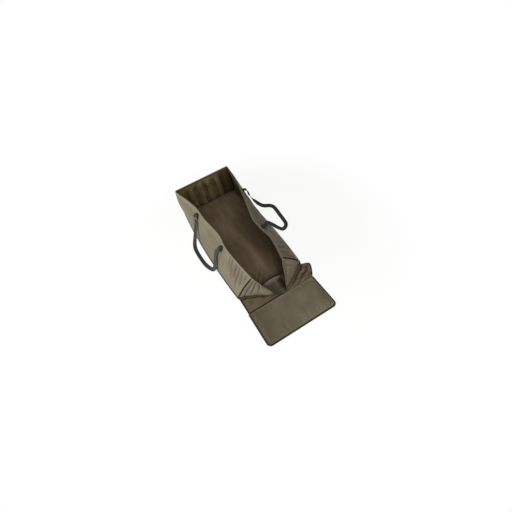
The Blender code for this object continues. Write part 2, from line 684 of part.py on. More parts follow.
def build_flap(strip_pivot):
    """The padded flap: two skins, foam, and tape round its three free edges."""
    pivot = add_pivot("flap_hinge", Vector((STRIP_END + FOLD_GAP, 0, CLOTH_LIFT + STRIP_CLOTH / 2)))
    pivot.parent = strip_pivot
    pivot.matrix_parent_inverse = Matrix.Translation(-strip_pivot.location)
    lengths = flap_stations(FLAP_LENGTH, 4)
    widths = flap_stations(2 * FLAP_HALF, 8)
    along, across = len(lengths) - 1, len(widths) - 1
    low = CLOTH_LIFT + FLAP_CLOTH + GAP

    def layer(u, w, height):
        x = lengths[round(u * along)]
        y = widths[round(w * across)] - FLAP_HALF
        return Vector((*flap_spot(x, y), height(x, y)))

    cloth("flap_underside", lambda u, w: layer(u, w, lambda a, b: CLOTH_LIFT + FLAP_CLOTH / 2),
          along, across, FLAP_CLOTH, UNDERSIDE, pivot)
    pad("flap_foam", lambda u, w: layer(u, w, lambda a, b: low),
        lambda u, w: layer(u, w, lambda a, b: low + flap_swell(a, b)), along, across, FOAM, pivot)
    skin = low + GAP + FLAP_CLOTH / 2
    cloth("flap_cover", lambda u, w: layer(u, w, lambda a, b: skin + flap_swell(a, b)),
          along, across, FLAP_CLOTH, OLIVE, pivot)

    turns = [math.radians(45) * (1 - ring / FLAP_CORNER) for ring in FLAP_RINGS[2::-1]]
    turns += [math.radians(90) - turn for turn in reversed(turns[:-1])]
    edge = []
    for side in (LEFT, RIGHT):
        run = []
        for x in (FLAP_START, mix(FLAP_START, FLAP_END, 0.5), FLAP_END - FLAP_CORNER):
            run.append((Vector((x, side * FLAP_HALF)), Vector((0, side))))
        centre = Vector((FLAP_END - FLAP_CORNER, side * (FLAP_HALF - FLAP_CORNER)))
        for angle in turns + [math.radians(90)]:
            facing = Vector((math.sin(angle), side * math.cos(angle)))
            run.append((centre + facing * FLAP_CORNER, facing))
        edge += run if side == LEFT else reversed(run)
    bottom = TAPE / 2
    top = skin + FLAP_EDGE + FLAP_CLOTH / 2 + GAP + TAPE / 2
    out = EDGE_GAP + TAPE
    section = ((-EDGE_TAPE, bottom), (EDGE_GAP, bottom), (out, mix(bottom, top, 0.25)),
               (out, mix(bottom, top, 0.75)), (EDGE_GAP, top), (-EDGE_TAPE, top))

    def place(u, w):
        index = round(u * (len(edge) - 1))
        point, facing = edge[index]
        reach, height = corners(section, w)
        spot = point + facing * reach
        return Vector((spot.x, spot.y, height))
    cloth("flap_edge_tape", place, len(edge) - 1, 5, TAPE, BLACK_TAPE, pivot)
    return pivot


# Handles


def on_wall(side, x, rise):
    """Middle of webbing that lies on a side wall's outer face."""
    return wall_facet(side, x, rise, WALL_HALF + ANCHOR_GAP + WEBBING / 2)


def level_of(side, x, reach):
    """Direction along the mat of the wall's cloth at the height of an anchor's top."""
    return (on_wall(side, x + reach, ANCHOR_HIGH) - on_wall(side, x - reach, ANCHOR_HIGH)).normalized()


def arch_point(side, x, degrees, past=0.0):
    """Middle of the webbing as it arches out of an anchor's top, or a length past there."""
    top = on_wall(side, x, ANCHOR_HIGH)
    along = level_of(side, 0, HANDLE_SPACING / 2)
    up = top - on_wall(side, x, ANCHOR_HIGH - ARCH_RADIUS)
    up = (up - along * up.dot(along)).normalized()
    out = along.cross(up) * -side
    rise, reach = math.cos(math.radians(degrees)), math.sin(math.radians(degrees))
    return top + up * (ARCH_RADIUS * reach + past * rise) + out * (ARCH_RADIUS * (1 - rise) + past * reach)


def strap_ends(side, past=0.0):
    """Middles of a strap near its two ends. With no length past them, the strap turns about their line."""
    reach = STRAP_GAP + STRAP_BACK + past
    return [arch_point(side, x, ARCH_TURN, reach) for x in (-HANDLE_SPACING / 2, HANDLE_SPACING / 2)]


def strap_line(side, ends, route):
    """Evenly spaced stations along a strap: (centre, width direction) pairs."""
    line = (ends[1] - ends[0]).normalized()
    starts, leads = strap_ends(side, -STRAP_BACK), strap_ends(side, STRAP_LEAD)
    points, widths = [starts[0], leads[0]], [line, line]
    for (along, out, up), (run, across, lift) in route:
        points.append(Vector((along, side * (HALF_WIDTH + out), up)))
        widths.append(Vector((run, side * across, lift)).normalized())
    points += [leads[1], starts[1]]
    widths += [-line, -line]
    dense = 10 * STRAP_STEPS
    track = [through(points, i / dense) for i in range(dense + 1)]
    facing = [through(widths, i / dense) for i in range(dense + 1)]
    lengths = [0.0]
    for a, b in zip(track, track[1:]):
        lengths.append(lengths[-1] + (b - a).length)
    stations = []
    at = 0
    for i in range(STRAP_STEPS + 1):
        want = lengths[-1] * i / STRAP_STEPS
        while at < dense - 1 and lengths[at + 1] < want:
            at += 1
        t = (want - lengths[at]) / (lengths[at + 1] - lengths[at])
        ahead = (track[at + 1] - track[at]).normalized()
        width = facing[at].lerp(facing[at + 1], t)
        if 0 < i < STRAP_STEPS:
            width = (width - ahead * width.dot(ahead)).normalized()
        stations.append((track[at].lerp(track[at + 1], t), width))
    return stations


def build_anchor(name, side, middle, line):
    """One stitched end of webbing, flat on the wall and then arched out to its strap."""
    flat = 2
    steps = flat + ARCH_STEPS

    def place(u, w):
        step = round(w * steps)
        across = (u - 0.5) * WEBBING_WIDTH
        if step <= flat:
            return on_wall(side, middle + across, mix(ANCHOR_LOW, ANCHOR_HIGH, step / flat))
        share = (step - flat) / ARCH_STEPS
        level = level_of(side, middle, WEBBING_WIDTH / 2).lerp(line, share).normalized()
        return arch_point(side, middle, ARCH_TURN * share) + level * across
    cloth(name, place, 2, steps, WEBBING, GREY_WEBBING)


def build_handles():
    """Two webbing loops, and the four stitched ends that hold them."""
    for name, side, route in (("left", LEFT, LEFT_ROUTE), ("right", RIGHT, RIGHT_ROUTE)):
        ends = strap_ends(side)
        stations = strap_line(side, ends, route)
        pivot = add_pivot(f"{name}_handle_axis", (ends[0] + ends[1]) / 2)

        def place(u, w, stations=stations):
            centre, width = stations[round(u * STRAP_STEPS)]
            return centre + width * (w - 0.5) * WEBBING_WIDTH
        cloth(f"{name}_handle", place, STRAP_STEPS, 1, WEBBING, GREY_WEBBING, pivot)
        line = (ends[1] - ends[0]).normalized()
        for end, middle in (("far", -HANDLE_SPACING / 2), ("near", HANDLE_SPACING / 2)):
            build_anchor(f"{name}_{end}_anchor", side, middle, line)


COLLECTION = bpy.data.collections.new("unhooking_mat")


def main():
    """Build the whole mat."""
    clear_scene()
    bpy.context.scene.collection.children.link(COLLECTION)
    build_floor()
    build_walls()
    build_hems()
    build_corner_tapes()
    build_piping()
    build_end_wall()
    build_flap(build_strip())
    build_handles()
    bpy.context.view_layer.update()


main()
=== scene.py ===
"""Looks of an unhooking mat: a padded cradle for landed fish, its end flap laid out on the ground.

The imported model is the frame, and each soft solid in it is replaced here by a finer
piece of the same form. The origin is the middle of the base's underside, +X runs
to the flap, +Y is to the right for someone who looks in from the flap, +Z is up.
Sizes are in metres unless a name says mm, and angles in degrees.
"""

import logging
import math
from dataclasses import dataclass, field
from enum import Enum
from typing import Callable, Iterable, Sequence

import bmesh
import bpy
import numpy as np
from mathutils import Matrix, Vector, noise


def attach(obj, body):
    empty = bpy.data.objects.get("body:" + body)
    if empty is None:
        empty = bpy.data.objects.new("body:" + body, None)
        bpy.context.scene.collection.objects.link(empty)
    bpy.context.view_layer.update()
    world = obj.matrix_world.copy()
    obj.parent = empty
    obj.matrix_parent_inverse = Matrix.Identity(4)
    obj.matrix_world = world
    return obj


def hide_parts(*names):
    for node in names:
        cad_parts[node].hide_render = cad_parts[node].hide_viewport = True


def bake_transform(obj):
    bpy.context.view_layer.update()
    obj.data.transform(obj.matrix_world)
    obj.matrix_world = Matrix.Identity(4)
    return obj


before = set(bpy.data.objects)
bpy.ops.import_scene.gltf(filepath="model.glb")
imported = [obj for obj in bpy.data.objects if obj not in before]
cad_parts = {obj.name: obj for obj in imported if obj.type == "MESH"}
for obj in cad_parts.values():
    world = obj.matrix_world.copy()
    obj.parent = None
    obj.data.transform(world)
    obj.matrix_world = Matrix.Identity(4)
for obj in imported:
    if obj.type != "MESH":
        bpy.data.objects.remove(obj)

LOG = logging.getLogger("unhooking_mat")
HERRINGBONE_ROW = 0.009  # width of one row of the webbing's slanting threads
STITCH_WIDTH = 0.0009  # of the thread, where a stitch is thickest
STITCH_HEIGHT = 0.0007  # how far a stitch stands out of its cloth
SHARP_EDGE = 55  # from this angle on an edge shows as sharp
SETTLING_FRAMES = 20  # steps of the cloth simulation
SETTLING_STEP = 2  # the simulation takes every other point of a grid
Place = Callable[[float, float], Vector]
WallPlace = Callable[[float, float, float], Vector]
Tone = Callable[[float, float], float]


class Side(Enum):
    """The mat's two long sides."""

    LEFT = -1
    RIGHT = 1


class Weave(Enum):
    """How a cloth's threads run, which decides the relief of its surface."""

    PLAIN = "plain"
    KNIT = "knit"
    RIBBED = "ribbed"
    HERRINGBONE = "herringbone"
    COATED = "coated"


# Small sums


def mix(a: float, b: float, share: float) -> float:
    """Straight mix of two values."""
    return a + (b - a) * share


def clamp(value: float, low: float = 0.0, high: float = 1.0) -> float:
    """A value held between two limits."""
    return min(max(value, low), high)


def ease(share: float) -> float:
    """Smooth step from 0 to 1."""
    share = clamp(share)
    return share * share * (3 - 2 * share)


def climb(value: float, start: float, reach: float) -> float:
    """Smooth step that starts at a value and takes a reach."""
    return ease((value - start) / reach)


def sink(value: float, end: float, reach: float) -> float:
    """Smooth step back down that ends at a value and takes a reach."""
    return ease((end - value) / reach)


def hump(value: float, middle: float, reach: float) -> float:
    """Smooth bell: 1 at the middle and 0 from a reach away."""
    return ease(1 - abs(value - middle) / reach)


def rough(x: float, y: float, seed: float) -> float:
    """Smooth even noise from about -1 to 1, the same at each run. The seed picks its pattern."""
    return noise.noise(Vector((x, y, seed)))


def through(points: Sequence, share: float):
    """Smooth curve through evenly counted points.

    Args:
        points: Vectors or numbers.
        share: Where along the curve, from 0 to 1.

    Returns:
        The value there, of the same kind as the points.
    """
    last = len(points) - 1
    index = min(int(share * last), last - 1)
    t = share * last - index
    p1, p2 = points[index], points[index + 1]
    p0 = points[index - 1] if index > 0 else p1 * 2 - p2
    p3 = points[index + 2] if index + 2 <= last else p2 * 2 - p1
    return (p1 * 2 + (p2 - p0) * t + (p0 * 2 - p1 * 5 + p2 * 4 - p3) * t * t
            + (p1 * 3 - p0 - p2 * 3 + p3) * t * t * t) * 0.5


def through_knots(knots: Sequence[tuple[float, float]], x: float) -> float:
    """Smooth value through knots that need not be evenly spaced.

    Args:
        knots: Pairs of place and value, in order.
        x: The place asked for, held inside the knots.

    Returns:
        The value at x.
    """
    x = clamp(x, knots[0][0], knots[-1][0])
    slopes = []
    for i in range(len(knots)):
        a, b = knots[max(i - 1, 0)], knots[min(i + 1, len(knots) - 1)]
        slopes.append((b[1] - a[1]) / (b[0] - a[0]))
    index = next(i for i in range(len(knots) - 1) if x <= knots[i + 1][0])
    (xa, va), (xb, vb) = knots[index], knots[index + 1]
    span = xb - xa
    t = (x - xa) / span
    return ((2 * t ** 3 - 3 * t * t + 1) * va + (t ** 3 - 2 * t * t + t) * span * slopes[index]
            + (3 * t * t - 2 * t ** 3) * vb + (t ** 3 - t * t) * span * slopes[index + 1])


def along_line(points: Sequence[Sequence[float]], share: float) -> list[float]:
    """Straight runs between points, spread by their lengths.

    Args:
        points: The points of the line.
        share: Where along it, from 0 to 1.

    Returns:
        The point there.
    """
    lengths = [0.0]
    for a, b in zip(points, points[1:]):
        lengths.append(lengths[-1] + math.dist(a, b))
    want = share * lengths[-1]
    index = next(i for i in range(len(points) - 1) if want <= lengths[i + 1] + 1e-12)
    t = (want - lengths[index]) / (lengths[index + 1] - lengths[index])
    return [mix(a, b, t) for a, b in zip(points[index], points[index + 1])]


def linear(code: str) -> tuple[float, float, float, float]:
    """Turn an sRGB hex colour into linear RGBA.

    Args:
        code: Six hex digits.

    Returns:
        The linear colour, with alpha 1.
    """
    levels = [int(code[i:i + 2], 16) / 255 for i in (0, 2, 4)]
    return (*(v / 12.92 if v <= 0.04045 else ((v + 0.055) / 1.055) ** 2.4 for v in levels), 1.0)


# Finishes


def add_node(material: bpy.types.Material | bpy.types.World, kind: str, inputs: dict | None = None,
             **settings) -> bpy.types.Node:
    """Add one node to a material with its settings and links.

    Args:
        material: The material or world, which uses nodes.
        kind: The node's type.
        inputs: A value or another node's output for each input, by name or index.
        **settings: The node's own properties.

    Returns:
        The new node.
    """
    node = material.node_tree.nodes.new(kind)
    for name, value in settings.items():
        setattr(node, name, value)
    for key, value in (inputs or {}).items():
        if isinstance(value, bpy.types.NodeSocket):
            material.node_tree.links.new(value, node.inputs[key])
        else:
            node.inputs[key].default_value = value
    return node


def calculate(material: bpy.types.Material, operation: str, *values, kind: str = "ShaderNodeMath",
              **settings) -> bpy.types.NodeSocket:
    """Add a math node.

    Args:
        material: The material or world.
        operation: What the node does.
        *values: Its values, or other nodes' outputs, in order.
        kind: The node's type, for numbers or for vectors.
        **settings: The node's other properties.

    Returns:
        The node's result.
    """
    return add_node(material, kind, dict(enumerate(values)), operation=operation, **settings).outputs[0]


def emptied(owner: bpy.types.Material | bpy.types.World) -> bpy.types.Material | bpy.types.World:
    """Clear a new material or world of its standard nodes."""
    owner.use_nodes = True
    owner.node_tree.nodes.clear()
    return owner


def band_scale(pitch_mm: float) -> float:
    """Scale at which a wave texture repeats once in a pitch given in millimetres."""
    return 2 * math.pi / 20 / (pitch_mm / 1000)


def spot_scale(size_mm: float) -> float:
    """Scale at which a noise texture has spots of a size given in millimetres."""
    return 1 / (size_mm / 1000)


@dataclass(frozen=True)
class Cloth:
    """A cloth or tape finish.

    Its colours drift over patches between deep and light, its threads stand in
    relief, its edges are rubbed paler, and painted shade and light are multiplied
    in: darker in creases and where shade falls, lighter where light is painted.
    """

    name: str
    slot: str
    deep: str
    base: str
    light: str
    rubbed: str
    weave: Weave
    thread_mm: float
    patch_mm: float
    roughness: float
    relief_mm: float
    streak: float = 1.0
    sheen: float = 0.0
    sheen_roughness: float = 0.5
    specular: float = 0.5
    ramp: tuple = (0.30, 0.72)
    thread_tones: tuple = (0.86, 1.06)
    scuff_mm: float = 9
    gloss_drift: float = 0.08
    relief_share: float = 0.6
    warmth: tuple = (1.06, 1.30)

    def material(self) -> bpy.types.Material:
        """Return this finish's material, made on first use."""
        found = bpy.data.materials.get(self.name)
        if found:
            return found
        made = emptied(bpy.data.materials.new(self.name))
        layers = {name: add_node(made, "ShaderNodeAttribute", attribute_name=name).outputs
                  for name in ("spread", "fold", "rub")}
        spread = layers["spread"]["Vector"]
        threads = self.threads(made, spread)
        vectors = "ShaderNodeVectorMath"
        drawn = calculate(made, "MULTIPLY", spread, (1 / self.streak, 1.0, 1.0), kind=vectors)
        patches = add_node(made, "ShaderNodeTexNoise", {
            "Vector": drawn, "Scale": spot_scale(self.patch_mm), "Detail": 3.0, "Roughness": 0.55,
        }).outputs["Fac"]
        drift = add_node(made, "ShaderNodeValToRGB", {"Fac": patches})
        for element, position, colour in zip(drift.color_ramp.elements, self.ramp, (self.deep, self.light)):
            element.position = position
            element.color = linear(colour)
        drift.color_ramp.elements.new(0.5).color = linear(self.base)
        grain = add_node(made, "ShaderNodeMapRange", {
            "Value": threads, "To Min": self.thread_tones[0], "To Max": self.thread_tones[1],
        }).outputs["Result"]
        woven = calculate(made, "MULTIPLY", drift.outputs["Color"], grain, kind=vectors)
        scuffs = add_node(made, "ShaderNodeTexNoise", {
            "Vector": spread, "Scale": spot_scale(self.scuff_mm), "Detail": 4.0,
        }).outputs["Fac"]
        worn = calculate(made, "MULTIPLY", scuffs, layers["rub"]["Fac"])
        pale = self.towards_rubbed(made, worn, woven)
        # The fold attribute multiplies in painted shade, and painted light where it is above 1.
        shaded = calculate(made, "MULTIPLY", pale, self.depth(made, layers["fold"]["Fac"]), kind=vectors)
        smooth = add_node(made, "ShaderNodeMapRange", {
            "Value": patches, "To Min": self.roughness - self.gloss_drift,
            "To Max": self.roughness + self.gloss_drift,
        }).outputs["Result"]
        bump = add_node(made, "ShaderNodeBump", {
            "Height": threads, "Distance": self.relief_mm / 1000, "Strength": self.relief_share,
        }).outputs["Normal"]
        shader = add_node(made, "ShaderNodeBsdfPrincipled", {
            "Base Color": shaded, "Roughness": smooth, "Normal": bump,
            "Specular IOR Level": self.specular, "Sheen Weight": self.sheen,
            "Sheen Roughness": self.sheen_roughness,
        })
        add_node(made, "ShaderNodeOutputMaterial", {"Surface": shader.outputs["BSDF"]})
        return made

    def depth(self, made: bpy.types.Material, fold: bpy.types.NodeSocket) -> bpy.types.NodeSocket:
        """Colour of the painted shade, which is warm, as light between two faces takes on the cloth's own.

        Args:
            made: The material.
            fold: The painted shade and light, 1 plain, 0 black and above 1 lighter.

        Returns:
            The colour to multiply by.
        """
        parts = [fold] + [calculate(made, "POWER", fold, power) for power in self.warmth]
        return add_node(made, "ShaderNodeCombineXYZ", dict(zip("XYZ", parts))).outputs[0]

    def towards_rubbed(self, made: bpy.types.Material, share: bpy.types.NodeSocket,
                       colour: bpy.types.NodeSocket) -> bpy.types.NodeSocket:
        """Mix a colour towards the rubbed one.

        Args:
            made: The material.
            share: How much of the rubbed colour shows.
            colour: The unworn colour.

        Returns:
            The mixed colour.
        """
        node = add_node(made, "ShaderNodeMix", data_type="RGBA")
        made.node_tree.links.new(share, node.inputs["Factor"])
        colours = [socket for socket in node.inputs if socket.type == "RGBA"]
        made.node_tree.links.new(colour, colours[0])
        colours[1].default_value = linear(self.rubbed)
        return next(socket for socket in node.outputs if socket.type == "RGBA")

    def threads(self, made: bpy.types.Material, spread: bpy.types.NodeSocket) -> bpy.types.NodeSocket:
        """Height of the cloth's threads.

        Args:
            made: The material.
            spread: Place on the flat cloth, in metres.

        Returns:
            The height from 0 to 1.
        """
        def wave(direction: str, share: float = 1.0, place: bpy.types.NodeSocket = spread,
                 **more: float) -> bpy.types.NodeSocket:
            inputs = {"Vector": place, "Scale": band_scale(self.thread_mm) * share, **more}
            return add_node(made, "ShaderNodeTexWave", inputs, bands_direction=direction).outputs["Fac"]

        if self.weave is Weave.RIBBED:
            return wave("X")
        if self.weave is Weave.KNIT:
            return calculate(made, "MULTIPLY", wave("Y"), wave("DIAGONAL", 0.6, Distortion=1.5, Detail=1.0))
        if self.weave is Weave.HERRINGBONE:
            parts = add_node(made, "ShaderNodeSeparateXYZ", {"Vector": spread}).outputs
            folded = calculate(made, "PINGPONG", parts["Y"], HERRINGBONE_ROW)
            slanted = add_node(made, "ShaderNodeCombineXYZ", {"X": parts["X"], "Y": folded}).outputs[0]
            return wave("DIAGONAL", 0.7, slanted)
        operation = "MAXIMUM" if self.weave is Weave.PLAIN else "MULTIPLY"
        return calculate(made, operation, wave("X"), wave("Y"))


# Polyester pack cloth, plain woven from 600 denier yarn and coated on its back. The
# coating gives it a faint broad gloss, and it dries paler along rims and folds. The
# yarn is 0.5 mm apart, and is drawn five times as coarse to show in the render.
PACK_CLOTH = Cloth("pack_cloth_olive_polyester", "olive_shell", "554E3D", "5E5747", "67604F", "7C7463",
                   Weave.PLAIN, thread_mm=2.5, patch_mm=150, roughness=0.62, relief_mm=0.30,
                   streak=1.6, sheen=0.03, specular=0.18)
# The same cloth's lining, uncoated and closer woven, which takes in light.
WALL_LINING = Cloth("lining_dark_olive_nylon", "dark_lining", "50452C", "5F5236", "6E6042", "7C6E52",
                    Weave.PLAIN, thread_mm=2.2, patch_mm=80, roughness=0.66, relief_mm=0.22,
                    streak=0.4, sheen=0.03, specular=0.20)
# Warp-knit polyester lining, brushed to a short nap with a soft sheen and colour
# patches drawn long; the lighter streak along the floor is a painted highlight.
FLOOR_NAP = Cloth("floor_lining_brushed_tricot", "floor_lining", "4E412D", "5F513B", "70624C", "80735F",
                  Weave.KNIT, thread_mm=3.0, patch_mm=70, roughness=0.72, relief_mm=0.35,
                  streak=4.5, sheen=0.25, sheen_roughness=0.4, specular=0.25)
# Thin coated nylon without padding, browner than the walls and quick to crease.
STRIP_NYLON = Cloth("strip_brown_nylon_taffeta", "strip_cloth", "473C2A", "534735", "5D5140", "74674F",
                    Weave.PLAIN, thread_mm=2.0, patch_mm=60, roughness=0.55, relief_mm=0.20,
                    sheen=0.03, specular=0.25)
# Grosgrain edge binding of polypropylene, whose cross ribs are 1 mm apart and are
# drawn twice as coarse.
BINDING = Cloth("binding_black_grosgrain", "binding", "171510", "1E1B16", "28251F", "403C33",
                Weave.RIBBED, thread_mm=2.0, patch_mm=60, roughness=0.80, relief_mm=0.30,
                specular=0.08)
# Polypropylene webbing woven in a herringbone, dull grey-black and furred by use.
WEBBING = Cloth("webbing_grey_polypropylene", "webbing", "252623", "2E2F2C", "393A36", "50514B",
                Weave.HERRINGBONE, thread_mm=3.6, patch_mm=45, roughness=0.80, relief_mm=0.55,
                streak=3.0, sheen=0.02, specular=0.10)
# Ground sheet of coated tarpaulin, black and slightly glossy, with the scrim
# threads showing through as a 4 mm grid.
TARPAULIN = Cloth("ground_sheet_coated_tarpaulin", "ground_sheet", "1F1F1E", "2A2A28", "353532", "4C4B47",
                  Weave.COATED, thread_mm=4.0, patch_mm=110, roughness=0.45, relief_mm=0.20,
                  specular=0.5)
# Bonded nylon sewing thread, smooth and dark.
THREAD = Cloth("thread_bonded_nylon", "binding", "17181A", "1E1F21", "292B2D", "3A3C3E",
               Weave.RIBBED, thread_mm=1.0, patch_mm=30, roughness=0.45, relief_mm=0.10,
               specular=0.5)


# Meshes


def plain(u: float, w: float) -> float:
    """A tone of 1 all over."""
    return 1.0


def bare(u: float, w: float) -> float:
    """A tone of 0 all over."""
    return 0.0


def rim_painted_shade(u: float, w: float) -> float:
    """Painted shade on cloth folded over a rim: dark at its lower seam, its top and its inner leg."""
    return 1 - 0.45 * ease(1 - w / 0.07) - 0.55 * hump(w, 0.52, 0.14) - 0.45 * climb(w, 0.52, 0.08)


@dataclass
class Grid:
    """A grid of points over a piece of cloth, with its flat places and its tones."""

    points: np.ndarray
    spread: np.ndarray
    # fold holds painted shade and light: 1 plain, 0 black, above 1 lighter.
    fold: np.ndarray
    rub: np.ndarray

    @classmethod
    def of(cls, place: Place, along: int, across: int, fold: Tone = plain, rub: Tone = bare) -> "Grid":
        """Sample a cloth's middle surface.

        Args:
            place: Point of the cloth for u and w from 0 to 1.
            along: Steps in u.
            across: Steps in w.
            fold: Painted shade and light, 1 plain, 0 black and above 1 lighter.
            rub: How rubbed the cloth is, from 0 to 1.

        Returns:
            The grid.
        """
        us, ws = np.linspace(0, 1, along + 1), np.linspace(0, 1, across + 1)
        points = np.array([[place(u, w) for w in ws] for u in us], float)
        tones = [np.array([[tone(u, w) for w in ws] for u in us], float) for tone in (fold, rub)]
        run = np.linalg.norm(np.diff(points, axis=0), axis=2).mean(axis=1)
        rise = np.linalg.norm(np.diff(points, axis=1), axis=2).mean(axis=0)
        spread = np.zeros(points.shape)
        spread[..., 0] = np.concatenate(([0], np.cumsum(run)))[:, None]
        spread[..., 1] = np.concatenate(([0], np.cumsum(rise)))[None, :]
        return cls(points, spread, tones[0], tones[1])

    def normals(self) -> np.ndarray:
        """Unit directions out of the cloth at each point."""
        run = np.gradient(self.points, axis=0)
        rise = np.gradient(self.points, axis=1)
        out = np.cross(run, rise)
        return out / np.maximum(np.linalg.norm(out, axis=2, keepdims=True), 1e-12)

    def from_edge(self) -> np.ndarray:
        """How far each point lies from the cloth's nearest edge."""
        run, rise = self.spread[..., 0], self.spread[..., 1]
        return np.minimum(np.minimum(run, run.max() - run), np.minimum(rise, rise.max() - rise))

    def sheet(self, name: str, thickness: float) -> bpy.types.Object:
        """Close the cloth up at its thickness, half to each side."""
        out = self.normals() * thickness / 2
        return self.closed(name, self.points - out, self.points + out)

    def closed(self, name: str, lower: np.ndarray, upper: np.ndarray, rings: int = 0) -> bpy.types.Object:
        """Build a closed body between two grids.

        Args:
            name: The piece's name.
            lower: Points of one face.
            upper: Points of the other.
            rings: Rings of points round the side, which make it bow out.

        Returns:
            The new object.
        """
        rows, columns = lower.shape[:2]
        count = rows * columns
        index = np.arange(count).reshape(rows, columns)
        ring = np.concatenate((index[:-1, 0], index[-1, :-1], index[:0:-1, -1], index[0, :0:-1]))
        flat_lower, flat_upper = lower.reshape(-1, 3), upper.reshape(-1, 3)
        centre = flat_lower[ring].mean(axis=0)
        levels = [flat_lower[ring]]
        for i in range(1, rings + 1):
            share = i / (rings + 1)
            level = mix(flat_lower[ring], flat_upper[ring], share)
            depth = np.linalg.norm(flat_upper[ring] - flat_lower[ring], axis=1, keepdims=True)
            away = level - centre
            away[:, 2] = 0
            away /= np.maximum(np.linalg.norm(away, axis=1, keepdims=True), 1e-9)
            levels.append(level + away * depth * 0.5 * math.sin(math.pi * share))
        points = np.concatenate([flat_lower, flat_upper] + levels[1:])
        tones = [a.reshape(count, -1) for a in (self.spread, self.fold, self.rub)]
        tones = [np.concatenate([a, a] + [a[ring]] * rings) for a in tones]
        cells = cells_of(index)
        faces = [cells[:, ::-1], cells + count]
        loops = [ring] + [2 * count + i * len(ring) + np.arange(len(ring)) for i in range(rings)]
        loops.append(ring + count)
        for a, b in zip(loops, loops[1:]):
            faces.append(np.stack((a, np.roll(a, -1), np.roll(b, -1), b), -1))
        return body_of(name, points, np.concatenate(faces).tolist(), *tones)


def placed(name: str, data: bpy.types.ID) -> bpy.types.Object:
    """Make an object of a mesh, a camera or a lamp, and put it in the scene."""
    made = bpy.data.objects.new(name, data)
    bpy.context.scene.collection.objects.link(made)
    return made


def cells_of(index: np.ndarray) -> np.ndarray:
    """The four-sided faces of a grid of point indices."""
    return np.stack((index[:-1, :-1], index[1:, :-1], index[1:, 1:], index[:-1, 1:]), -1).reshape(-1, 4)


def body_of(name: str, points: np.ndarray, faces: list, spread: np.ndarray, fold: np.ndarray,
            rub: np.ndarray) -> bpy.types.Object:
    """Make an object from points and faces, with the cloth's flat places and tones.

    Args:
        name: The piece's name.
        points: Its points.
        faces: Its faces, as lists of point indices.
        spread: Place of each point on the flat cloth.
        fold: Painted shade and light of each point.
        rub: Rub tone of each point.

    Returns:
        The new object, smooth but for its sharp edges.
    """
    mesh = bpy.data.meshes.new(name)
    mesh.from_pydata(points.tolist(), [], faces)
    for label, kind, values in (("spread", "FLOAT_VECTOR", spread), ("fold", "FLOAT", fold),
                                ("rub", "FLOAT", rub)):
        layer = mesh.attributes.new(label, kind, "POINT")
        layer.data.foreach_set("vector" if kind == "FLOAT_VECTOR" else "value",
                               values.astype(np.float32).ravel())
    turned = bmesh.new()
    turned.from_mesh(mesh)
    bmesh.ops.recalc_face_normals(turned, faces=turned.faces[:])
    turned.to_mesh(mesh)
    turned.free()
    mesh.shade_smooth()
    mesh.set_sharp_from_angle(angle=math.radians(SHARP_EDGE))
    return placed(name, mesh)


def stitches(name: str, track: Iterable[tuple[Vector, Vector]], pitch: float = 0.005) -> bpy.types.Object:
    """Build a row of stitches, each a small grain of thread that stands on the cloth.

    Args:
        name: The piece's name.
        track: Points along the row with the direction out of the cloth.
        pitch: From one stitch to the next.

    Returns:
        The new object.
    """
    spots = [(Vector(p), Vector(n)) for p, n in track]
    lengths = [0.0]
    for (a, _), (b, _) in zip(spots, spots[1:]):
        lengths.append(lengths[-1] + (b - a).length)
    points, faces, index = [], [], 0
    for k in range(int(lengths[-1] / pitch)):
        ends = []
        for share in (0.12, 0.88):
            want = (k + share) * pitch
            while index < len(lengths) - 2 and lengths[index + 1] < want:
                index += 1
            t = (want - lengths[index]) / max(lengths[index + 1] - lengths[index], 1e-9)
            ends.append(spots[index][0].lerp(spots[index + 1][0], t))
        index = max(index - 2, 0)
        out = spots[index][1].normalized()
        middle = (ends[0] + ends[1]) / 2
        side = (ends[1] - ends[0]).cross(out).normalized() * STITCH_WIDTH / 2
        raised = out * STITCH_HEIGHT
        base = len(points)
        points += [ends[0], ends[1], middle + side, middle - side, middle + raised, middle - raised]
        for a, b in ((2, 4), (4, 3), (3, 5), (5, 2)):
            faces += [[base, base + a, base + b], [base + 1, base + b, base + a]]
    array = np.array([tuple(p) for p in points])
    ones = np.ones(len(points))
    return body_of(name, array, faces, array, ones, ones * 0)


